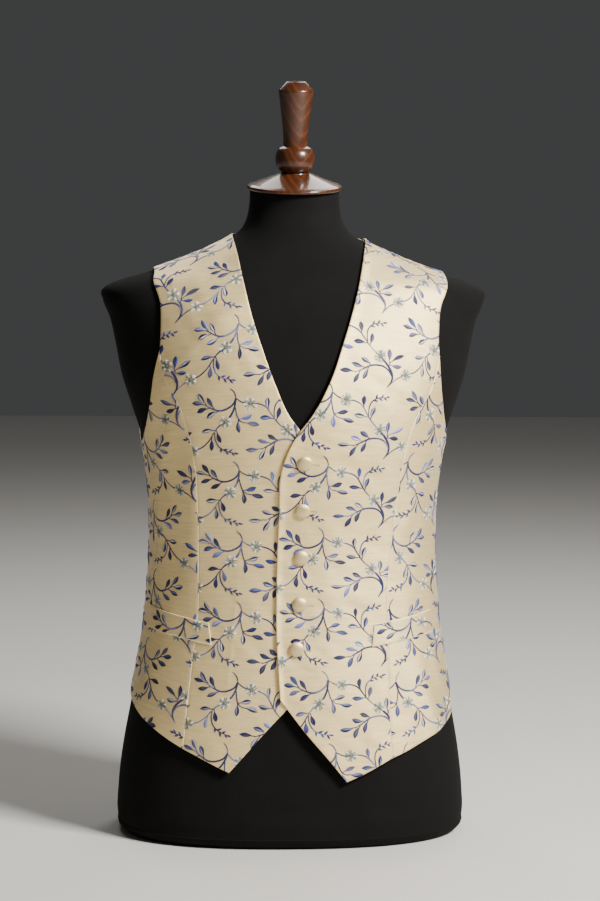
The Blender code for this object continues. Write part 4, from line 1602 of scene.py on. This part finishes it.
@dataclass(frozen=True)
class PolishedWood(Finish):
    """Dark polished hardwood, its growth lines in narrow arches that point down."""

    dark: Colour = linear(44, 21, 9)
    heart: float = 0.006
    arch: float = 11.0
    ramp: tuple[float, float] = (0.20, 0.85)

    def make(self, effects: Effects) -> Material:
        """Return the wood's material, made from the shared groups."""
        material, tree, shader = self.start()
        calc = partial(math_node, tree)
        place = node(tree, "ShaderNodeTexCoord").outputs["Object"]
        parts = node(tree, "ShaderNodeSeparateXYZ", Vector=place).outputs
        aside = calc("ABSOLUTE", calc("SUBTRACT", parts["X"], self.heart), 0.0)
        rise = calc("MULTIPLY", calc("POWER", aside, 1.5), self.arch)
        drop = calc("SUBTRACT", parts["Z"], rise)
        lines = node(tree, "ShaderNodeCombineXYZ", X=drop, Y=parts["X"], Z=parts["Y"])
        growth = node(
            tree, "ShaderNodeTexWave", bands_direction="X", Vector=lines.outputs[0], Scale=19.0,
            Distortion=3.0, Detail=2.0, Detail_Scale=2.5
        )
        stretch = node(tree, "ShaderNodeMapping", Vector=place, Scale=(1.0, 1.0, 0.05))
        fine = node(tree, "ShaderNodeTexNoise", Vector=stretch.outputs[0], Scale=900.0, Detail=3.0)
        line = calc("MULTIPLY", calc("POWER", growth.outputs[1], 4.0), 0.34)
        grain = calc("ADD", line, calc("MULTIPLY", fine.outputs[0], 0.75))
        ramp = node(tree, "ShaderNodeValToRGB", Fac=grain)
        for stop, colour, place in zip(ramp.color_ramp.elements, (self.dark, self.colour), self.ramp):
            stop.color, stop.position = (*colour, 1.0), place
        colour = shaded(tree, ramp.outputs[0], self.aged(tree, effects, 30.0, 0.5))
        feed(tree, shader, Base_Color=colour, Specular_IOR_Level=0.3, Coat_Weight=0.6, Coat_Roughness=0.06)
        self.bump(tree, shader, fine.outputs[0], 0.05, 0.25)
        return material


@dataclass(frozen=True)
class PlainFloor(Finish):
    """Pale studio floor."""

    def make(self, effects: Effects) -> Material:
        """Return the floor's material, made from the shared groups."""
        material, tree, shader = self.start()
        feed(tree, shader, Base_Color=self.tint(tree, self.aged(tree, effects, 3.0, 0.04)))
        return material


@dataclass
class Wardrobe:
    """Every finish of the part, made once."""

    effects: Effects = field(default_factory=Effects)

    def __post_init__(self) -> None:
        """Make the materials."""
        make = self.effects
        lining = Silk(
            "ivory_lining", linear(222, 206, 168), 0.36, threads=4.5, slub=0.25, sheen=0.35, relief=0.03
        )
        # The buttons' silk is a darker copy of the fronts' silk: painted shade on the covered buttons.
        plain = Silk("ivory_dupion_painted_shade", linear(226, 203, 152), 0.46, slub=0.6, mapped=False)
        self.silk = Silk("ivory_dupion", linear(246, 220, 160), 0.48).make(make)
        self.button_silk = plain.make(make)
        self.back_silk = lining.make(make)
        self.floss = Floss("embroidery_floss", Tone.BLUE.value[0], 0.42).make(make)
        # The cords' pale ivory is painted highlight of the pressed seams and welt folds.
        self.highlight_cord_thread = Floss("highlight_cord_thread", linear(252, 236, 196), 0.40, from_stitches=False).make(make)
        self.jersey = Jersey("black_jersey", linear(14, 14, 14), 0.92).make(make)
        self.wood = PolishedWood("polished_wood", linear(86, 45, 20), 0.34).make(make)
        self.floor = PlainFloor("pale_floor", linear(198, 196, 192), 0.75).make(make)


@dataclass
class Waistcoat:
    """The waistcoat: its panels, embroidery, welts, seams, buttons and buttonholes."""

    figure: Figure
    wardrobe: Wardrobe
    drape: Drape = field(default_factory=Drape)
    trail: LeafTrail = field(default_factory=LeafTrail)
    button_diameter: float = 0.0175
    button_height: float = 0.0050
    seam_highlight_radius: float = 0.00050
    seam_sink: float = 0.75
    welt_highlight_radius: float = 0.00042
    welt_line: float = 0.7
    edge_roll: float = 0.0014
    buttonhole: float = 19.0
    purl_step: float = 0.62
    hole_start: float = 3.0
    panels: dict[str, Panel] = field(default_factory=dict)

    def build(self) -> None:
        """Build every piece of the waistcoat."""
        for panel in self.cut_fronts() + self.cut_back():
            self.panels[panel.node] = panel
        for name, corners in (("welt_left", LEFT_WELT), ("welt_right", RIGHT_WELT)):
            self.panels[name] = self.welt(name, corners)
        self.sew_panels()
        self.embroider()
        self.sew_seams()
        for number, place in enumerate(BUTTONS, start=1):
            self.add_button(number, place)
        self.work_buttonholes()

    def centre_front(
        self, name: str, edge: Rows, stops: Stops, hem: Rows, tip: Row,
        outer_hem: Rows, seam: Rows, armhole: Rows, shoulder: Rows,
        side: int, height: Callable[[Array], Array], roll: float = 0.0
    ) -> Panel:
        """Cut a centre front.

        Args:
            name: its solid.
            edge: its front edge and V, from the hem up.
            stops: where the edge's points fall along it.
            hem: the hem from the front edge to the tip.
            tip: the hem's lowest point.
            outer_hem: the hem from the tip to the princess seam.
            seam: the princess seam, from the hem up.
            armhole: the armhole by turns, from the princess seam up.
            shoulder: the shoulder by turns, from the neck out.
            side: 1 on the wearer's left, -1 on the right.
            height: tells how high the cloth lies over the form.
            roll: how far its front edge stands up.

        Returns:
            The panel.
        """
        figure = self.figure
        front_edge = figure.front_points(edge) + figure.turned_points(shoulder[:1], side)
        hole = figure.turned_points(armhole, side)
        seam_points = figure.front_points(seam) + hole[:1]
        inner_hem = front_edge[:1] + figure.front_points((*hem, tip))
        outer_points = figure.front_points((tip, *outer_hem)) + seam_points[:1]
        ridge = figure.turned_points((*shoulder, armhole[-1]), side)
        return Panel(
            name, figure, EdgeLine((front_edge, stops)),
            EdgeLine(spaced(seam_points, end=SEAM_SHARE), (hole, FRONT_ARMHOLE_STOPS)),
            EdgeLine(spaced(inner_hem, end=TIP_SHARE), spaced(outer_points, TIP_SHARE)),
            EdgeLine(spaced(ridge)), FRONT_WALL, height,
            (EdgeKind.TURNED, EdgeKind.SEAM, EdgeKind.TURNED, EdgeKind.SEAM), (TIP_SHARE,), (SEAM_SHARE,),
            roll=roll
        )

    def side_front(
        self, name: str, seam: Rows, hem: Rows, side_seam: Rows,
        armhole: Rows, under: Rows, side: int
    ) -> Panel:
        """Cut a side front.

        Args:
            name: its solid.
            seam: the princess seam, from the hem up.
            hem: the hem between the seams.
            side_seam: the side seam by turns, from the hem up.
            armhole: the centre front's armhole, which starts at this panel.
            under: the armhole by turns, from the princess seam to the side seam.
            side: 1 on the wearer's left, -1 on the right.

        Returns:
            The panel.
        """
        figure = self.figure
        start = figure.turned_points(armhole[:1], side)
        inner = figure.front_points(seam) + start
        outer = figure.turned_points(side_seam, side)
        bottom = inner[:1] + figure.front_points(hem) + outer[:1]
        top = start + figure.turned_points(under, side) + outer[-1:]
        edges = [EdgeLine(spaced(points)) for points in (inner, outer, bottom, top)]
        kinds = (EdgeKind.SEAM, EdgeKind.SEAM, EdgeKind.TURNED, EdgeKind.TURNED)
        return Panel(name, figure, *edges, FRONT_WALL, self.drape.base, kinds, grain=(0.2, 0.7))

    def back_piece(self, name: str, side_seam: Rows, shoulder: Rows, armhole_end: Row, side: int) -> Panel:
        """Cut a back piece.

        Args:
            name: its solid.
            side_seam: the side seam by turns, from the hem up.
            shoulder: the shoulder by turns, from the neck out.
            armhole_end: where the armhole meets the shoulder.
            side: 1 on the wearer's left, -1 on the right.

        Returns:
            The panel.
        """
        figure = self.figure
        centre = [figure.turned_point(180.0, height) for height in BACK_CENTRE]
        seam_points = figure.turned_points(side_seam, side)
        end = figure.turned_points([armhole_end], side)
        hole_rows = [(turn, armhole_end[1] - drop) for turn, drop in BACK_ARMHOLE]
        hole = seam_points[-1:] + figure.turned_points(hole_rows, side) + end
        turn = (180.0 + side_seam[0][0]) / 2
        middle = figure.turned_point(side * turn, (centre[0][2] + side_seam[0][1]) / 2 - BACK_HEM_DIP)
        neck_rows = (*BACK_NECK[::-1], shoulder[0])
        neck = centre[-1:] + figure.turned_points(neck_rows, side)
        ridge = figure.turned_points(shoulder, side) + end
        return Panel(
            name, figure, EdgeLine((centre, BACK_CENTRE_STOPS)),
            EdgeLine(spaced(seam_points, end=0.5), (hole, BACK_ARMHOLE_STOPS)),
            EdgeLine(spaced([centre[0], middle, seam_points[0]])),
            EdgeLine(spaced(neck, end=NECK_SHARE), spaced(ridge, NECK_SHARE)),
            BACK_WALL, self.drape.base,
            (EdgeKind.SEAM, EdgeKind.SEAM, EdgeKind.TURNED, EdgeKind.SEAM), (NECK_SHARE,), (0.5,),
            step=0.0042
        )

    def welt(self, name: str, corners: Rows) -> Panel:
        """Cut a welt.

        Args:
            name: its solid.
            corners: its four corners in the front view.

        Returns:
            The panel.
        """
        inner_top, outer_top, inner_low, outer_low = self.figure.front_points(corners)
        ends = np.array([(inner_top + outer_top) / 2, (inner_low + outer_low) / 2])
        top, low = self.figure.seat(ends)
        sides = ([inner_low, inner_top], [outer_low, outer_top], [inner_low, low, outer_low])
        edges = [EdgeLine(spaced(points)) for points in (*sides, [inner_top, top, outer_top])]
        kinds = (EdgeKind.TURNED,) * 4
        return Panel(
            name, self.figure, *edges, WELT_WALL, self.drape.welt, kinds, grain=(0.0, 1.0), step=0.0022
        )

    def cut_fronts(self) -> list[Panel]:
        """Cut the four front panels.

        Returns:
            The panels.
        """
        return [
            self.centre_front(
                "front_left_centre", OVER_EDGE, OVER_STOPS, OVER_HEM, OVER_TIP, OVER_HEM_OUTER, LEFT_SEAM,
                LEFT_ARMHOLE, LEFT_SHOULDER, 1, self.drape.lapped, self.edge_roll
            ),
            self.centre_front(
                "front_right_centre", UNDER_EDGE, UNDER_STOPS, UNDER_HEM, UNDER_TIP, UNDER_HEM_OUTER,
                RIGHT_SEAM, RIGHT_ARMHOLE, RIGHT_SHOULDER, -1, self.drape.base
            ),
            self.side_front(
                "front_left_side", LEFT_SEAM, LEFT_SIDE_HEM, LEFT_SIDE_SEAM, LEFT_ARMHOLE,
                LEFT_ARMHOLE_UNDER, 1
            ),
            self.side_front(
                "front_right_side", RIGHT_SEAM, RIGHT_SIDE_HEM, RIGHT_SIDE_SEAM, RIGHT_ARMHOLE,
                RIGHT_ARMHOLE_UNDER, -1
            ),
        ]

    def cut_back(self) -> list[Panel]:
        """Return the two back pieces."""
        left = self.back_piece("back_left", LEFT_SIDE_SEAM, LEFT_SHOULDER, LEFT_ARMHOLE[-1], 1)
        return [left, self.back_piece("back_right", RIGHT_SIDE_SEAM, RIGHT_SHOULDER, RIGHT_ARMHOLE[-1], -1)]

    def sew_panels(self) -> None:
        """Build each panel's cloth and log its cut."""
        for name, panel in self.panels.items():
            kind, side = name.split("_")[:2]
            slot = "back_silk" if kind == "back" else "silk"
            piece = panel.build(getattr(self.wardrobe, slot), slot)
            width, length, area = panel.cut()
            LOG.info("%s: cut %.0f by %.0f mm, %.4f m2", piece.name, width / MM, length / MM, area)

    def embroider(self) -> None:
        """Sew the trail over the fronts and the welts."""
        places = {
            "front_left_centre": TrailPlace((0.0345, 0.4560), lean=4.2, sway=-0.0004),
            "front_right_centre": TrailPlace((-0.0660, 0.4480), lean=-1.0, sway=0.00045),
            "front_left_side": TrailPlace((0.1060, 0.2830), hand=-1),
            "front_right_side": TrailPlace((-0.1720, 0.2320), hand=-1),
            "welt_left": TrailPlace((0.1330, 0.2700)),
            "welt_right": TrailPlace((-0.1250, 0.2790)),
        }
        for seed, (name, place) in enumerate(places.items(), start=11):
            self.trail.sew(self.panels[name], place, seed, self.wardrobe.floss)

    def sew_seams(self) -> None:
        """Lay a pale cord along each seam and round each welt: painted highlight of the pressed edges and
        folds that catch the light.
        """
        picks = {
            "seam_princess_left": ("front_left_centre", "outer", 0.0, SEAM_SHARE),
            "seam_princess_right": ("front_right_centre", "outer", 0.0, SEAM_SHARE),
            "seam_side_left": ("front_left_side", "outer", 0.0, 1.0),
            "seam_side_right": ("front_right_side", "outer", 0.0, 1.0),
            "seam_shoulder_left": ("front_left_centre", "top", 0.04, 0.98),
            "seam_shoulder_right": ("front_right_centre", "top", 0.04, 0.98),
            "seam_centre_back": ("back_left", "inner", 0.0, 1.0),
        }
        for name, (panel_name, edge, start, end) in picks.items():
            panel = self.panels[panel_name]
            lift = panel.wall - panel.seam_dip * self.seam_sink
            self.lay_cord(name, panel, edge, np.linspace(start, end, 160), lift, self.seam_highlight_radius)
        for side in ("left", "right"):
            panel = self.panels[f"welt_{side}"]
            for edge in ("inner", "bottom", "top"):
                name, lift = f"welt_edge_{side}_{edge}", panel.wall * self.welt_line
                self.lay_cord(name, panel, edge, np.linspace(0.0, 1.0, 60), lift, self.welt_highlight_radius)

    def lay_cord(
        self, name: str, panel: Panel, edge: str, shares: Array, lift: float, radius: float,
        sides: int = 6
    ) -> None:
        """Lay a thin round line along a panel's edge, as a closed tube.

        Args:
            name: the piece's name.
            panel: the panel.
            edge: which of its edges.
            shares: places along that edge.
            lift: how high it runs over the cloth's base.
            radius: half its thickness.
            sides: points round it.
        """
        foot = self.figure.seat(getattr(panel, edge).read(shares))
        height = panel.height(foot) + lift
        points = foot + self.figure.normal(foot) * height[:, None]
        run = np.gradient(points, axis=0)
        run /= norm(run, axis=1, keepdims=True)
        across = np.cross(run, self.figure.normal(points))
        across /= norm(across, axis=1, keepdims=True)
        upward = np.cross(across, run)
        angle = 2 * np.pi * np.arange(sides) / sides
        ring = np.cos(angle)[None, :, None] * across[:, None] + np.sin(angle)[None, :, None] * upward[:, None]
        rings = points[:, None] + ring * radius
        mesh = new_mesh(name, rings.reshape(-1, 3).tolist(), ring_faces(len(points), sides, inward=True))
        order = np.arange(len(points) * sides)
        add_uv(mesh, "strands", np.stack([order % sides / sides, order // sides * 0.25], -1))
        # A pale cord: painted highlight of a pressed edge.
        add_piece(mesh, self.wardrobe.highlight_cord_thread)

    def add_button(self, number: int, place: Row) -> None:
        """Add a covered button: a dome of cloth drawn over a rim.

        Args:
            number: 1 for the highest button.
            place: where it sits in the front view.
        """
        seat = self.figure.seat(self.figure.front_point(*place)[None])
        normal = self.figure.normal(seat)[0]
        across = np.cross((0.0, 0.0, 1.0), normal)
        across /= norm(across)
        axes = np.stack([across, np.cross(normal, across), normal])
        lift = float(self.drape.lapped(seat)[0]) + FRONT_WALL + LAYER_GAP
        radius, high = self.button_diameter / 2, self.button_height
        profile = [(0.80 * radius, 0.0), (0.93 * radius, 0.06 * high)]
        for k in range(14):
            angle = math.radians(-24.0 + 112.0 * k / 13)
            swell = 1.0 if angle > 0 else 1.0 - 0.1 * angle * angle
            out = radius * swell * max(0.02, math.cos(angle))
            profile.append((out, high * (0.34 + 0.66 * math.sin(angle))))
        mesh = turned_mesh(f"covered_button_{number}", profile, 40, axes, seat[0] + normal * lift)
        # The button's darker silk is painted shade.
        add_piece(mesh, self.wardrobe.button_silk, f"button_{number}")

    def work_buttonholes(self) -> None:
        """Sew each buttonhole: close purl stitches on both sides of its slit, and a bar at the end."""
        panel = self.panels["front_left_centre"]
        stitches = Stitches(5)
        for place in BUTTONS:
            left, level = panel.flat_place(*place) / MM - np.array([self.hole_start, 0.0])
            for k in range(round(self.buttonhole / self.purl_step)):
                x = left + self.purl_step * k
                # Painted shade of the slit: each purl stitch is darker by the slit than at its outer end.
                colours = stitches.shades(Tone.TAN, 0.2, 0.8)
                for hand in (-1, 1):
                    near, far = np.array([(x, level + hand * 0.10), (x + 0.1, level + hand * 0.95)])
                    stitches.stitch(near, far, 0.66, 0.24, colours, rest=0.16)
            for k in range(2):
                x = left + self.buttonhole + 0.5 * k - 0.5
                low, high = np.array([(x, level - 1.1), (x, level + 1.1)])
                stitches.stitch(low, high, 0.6, 0.4, stitches.shades(Tone.TAN, 0.4, 0.9), rest=0.16)
        stitches.build("buttonholes", panel, self.wardrobe.floss)


@dataclass
class DressForm:
    """The limbless form: its covered body, neck cap and finial."""

    figure: Figure
    wardrobe: Wardrobe
    sides: int = 128
    ring_step: float = 0.0045
    hem_height: float = 0.013
    hem_step: float = 0.0007

    def build(self) -> None:
        """Build the body, the cap and the finial."""
        self.add_body()
        self.add_wood("turned_cap", "neck_cap", self.cap_profile(), 96)
        self.add_wood("turned_finial", "finial", self.finial_profile(), 72)

    def add_body(self) -> None:
        """Build the covered body, with its turned hem and its neck leaning forward."""
        steps = round(NECK_TOP / self.ring_step)
        hem = (self.hem_height - 0.0006, self.hem_height, self.hem_height + 0.0006)
        foot = (0.0, 0.0006, 0.0015, 0.003, 0.0045, 0.006)
        even = np.linspace(0.009, NECK_TOP - 0.0008, steps)
        heights = np.unique(np.concatenate([foot, hem, even, [NECK_TOP]]))
        points = []
        for height in heights:
            width, front, back, power = [float(value) for value in self.figure.section(height)]
            over_hem = float(fade(np.array(height), self.hem_height - 0.0005, self.hem_height))
            draw_in = self.hem_step * (1 - over_hem)
            if height >= NECK_TOP:
                draw_in = -0.0012
            lean = float(fade(np.array(height), NECK_BEND, NECK_TOP)) * math.tan(NECK_LEAN)
            for k in range(self.sides):
                angle = 2 * math.pi * (k + 0.5) / self.sides
                cosine, sine = math.cos(angle), math.sin(angle)
                depth = front if sine < 0 else back
                x = (width + draw_in) * math.copysign(abs(cosine) ** (2 / power), cosine)
                y = (depth + draw_in) * math.copysign(abs(sine) ** (2 / power), sine)
                points.append((x, y, height + y * lean))
        mesh = new_mesh("jersey_body", points, ring_faces(len(heights), self.sides), sharp=50.0)
        add_piece(mesh, self.wardrobe.jersey, "form_body")

    def add_wood(self, name: str, solid: str, profile: Rows, sides: int) -> None:
        """Build a turned piece on the neck's leaning axis.

        Args:
            name: the piece's name.
            solid: the solid that it stands for.
            profile: radius and height of each ring, from the bottom up.
            sides: points round each ring.
        """
        axis = np.array([0.0, -math.sin(NECK_LEAN), math.cos(NECK_LEAN)])
        forward = np.array([0.0, -math.cos(NECK_LEAN), -math.sin(NECK_LEAN)])
        axes = np.stack([np.array([-1.0, 0.0, 0.0]), forward, axis])
        mesh = turned_mesh(name, profile, sides, axes, np.array([0.0, 0.0, NECK_TOP]) + axis * LAYER_GAP)
        add_piece(mesh, self.wardrobe.wood, solid)

    @staticmethod
    def cap_profile() -> list[tuple[float, float]]:
        """Draw the cap: a round rim and a hollow-sided cone.

        Returns:
            Its profile.
        """
        profile = [(0.0552, 0.0)]
        for k in range(9):
            angle = math.radians(-90.0 + 180.0 * k / 8)
            profile.append((0.0546 + 0.0024 * math.cos(angle), 0.0027 + 0.0026 * math.sin(angle)))
        for k in range(15):
            share = k / 14
            profile.append((0.0538 - 0.0364 * share, 0.0060 + 0.0137 * share ** 1.06))
        profile += [(0.0172, 0.0202), (0.0166, 0.0205)]
        return profile

    @staticmethod
    def finial_profile() -> list[tuple[float, float]]:
        """Draw the finial: foot, round knob and a column that widens upward.

        Returns:
            Its profile.
        """
        profile = [(0.0148, 0.0208), (0.0156, 0.0212), (0.0157, 0.0217)]
        for k in range(17):
            angle = math.radians(-84.0 + 166.0 * k / 16)
            profile.append((0.0155 + 0.0080 * math.cos(angle), 0.0362 + 0.0146 * math.sin(angle)))
        for k in range(13):
            share = k / 12
            out = 0.0131 + 0.0077 * share**1.12 + 0.0014 * (1 - share) ** 7
            profile.append((out, 0.0516 + 0.0644 * share))
        profile += [(0.0209, 0.1166), (0.0207, 0.1176), (0.0200, 0.1188), (0.0118, 0.1272), (0.0112, 0.1277)]
        return profile


@dataclass
class Studio:
    """Pale floor, soft lights and the camera at the photo's angle."""

    wardrobe: Wardrobe
    look_at: tuple[float, float, float] = (0.009, 0.0, 0.459)
    distance: float = 3.0
    camera_height: float = 0.75
    azimuth: float = math.radians(-3.5)
    roll: float = math.radians(0.45)
    lens: float = 99.9
    room_light: float = 0.065
    floor_reach: float = 6.0
    aim_height: float = 0.42

    def build(self) -> None:
        """Build the floor, the lights and the camera."""
        self.add_floor()
        self.add_camera()
        self.add_light("key", (1.62, -1.46, 2.04), (0.7, 0.7), 218.0, (1.0, 0.975, 0.93))
        self.add_light("fill", (-2.1, -1.9, 1.1), (1.8, 1.8), 1.0, (1.0, 0.80, 0.62))
        self.add_light("left_box", (-0.62, 1.5, 2.35), (0.8, 1.3), 15.0, (1.0, 0.98, 0.95))
        self.add_light("right_box", (0.62, 1.5, 2.35), (0.8, 1.3), 18.0, (1.0, 0.98, 0.95))
        self.add_surroundings()

    def add_surroundings(self) -> None:
        """Add the dim, even light of the room."""
        world = bpy.data.worlds.new("studio")
        world.use_nodes = True
        background = world.node_tree.nodes["Background"]
        background.inputs["Color"].default_value = (0.82, 0.83, 0.85, 1.0)
        background.inputs["Strength"].default_value = self.room_light
        bpy.context.scene.world = world

    def add_floor(self) -> None:
        """Add a wide plain floor."""
        signs = ((-1, -1), (1, -1), (1, 1), (-1, 1))
        corners = [(x * self.floor_reach, y * self.floor_reach, 0) for x, y in signs]
        mesh = new_mesh("floor", corners, [(0, 1, 2, 3)])
        mesh.materials.append(self.wardrobe.floor)
        add_object("floor", mesh)

    def add_camera(self) -> None:
        """Add the camera and make it the scene's."""
        data = bpy.data.cameras.new("camera")
        data.lens = self.lens
        data.sensor_fit = "VERTICAL"
        data.sensor_height = 36.0
        camera = add_object("camera", data)
        x = self.look_at[0] + math.sin(self.azimuth) * self.distance
        y = self.look_at[1] - math.cos(self.azimuth) * self.distance
        level = self.facing((x, y, self.camera_height), self.look_at)
        camera.matrix_world = level @ Matrix.Rotation(self.roll, 4, "Z")
        bpy.context.scene.camera = camera

    @staticmethod
    def facing(place: Row, target: Row) -> Matrix:
        """Return the pose that stands at a place and looks at a target."""
        turn = (Vector(target) - Vector(place)).to_track_quat("-Z", "Y")
        return Matrix.LocRotScale(Vector(place), turn, None)

    def add_light(self, name: str, place: Row, size: Row, power: float, colour: Colour) -> None:
        """Add a soft light that faces the part.

        Args:
            name: its name.
            place: where it hangs.
            size: its width and height.
            power: its power in watts.
            colour: its colour.
        """
        data = bpy.data.lights.new(name, "AREA")
        data.shape = "RECTANGLE"
        data.size, data.size_y = size
        data.energy = power
        data.color = colour
        light = add_object(name, data)
        light.visible_camera = False
        light.matrix_world = self.facing(place, (0.0, 0.0, self.aim_height))


def main() -> None:
    """Build the whole scene."""
    logging.basicConfig(level=logging.INFO, format="%(message)s")
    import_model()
    wardrobe = Wardrobe()
    figure = Figure(FORM_SECTIONS)
    for part in (DressForm(figure, wardrobe), Waistcoat(figure, wardrobe), Studio(wardrobe)):
        part.build()
        LOG.info("%s done", type(part).__name__)


if __name__ == "__main__":
    main()
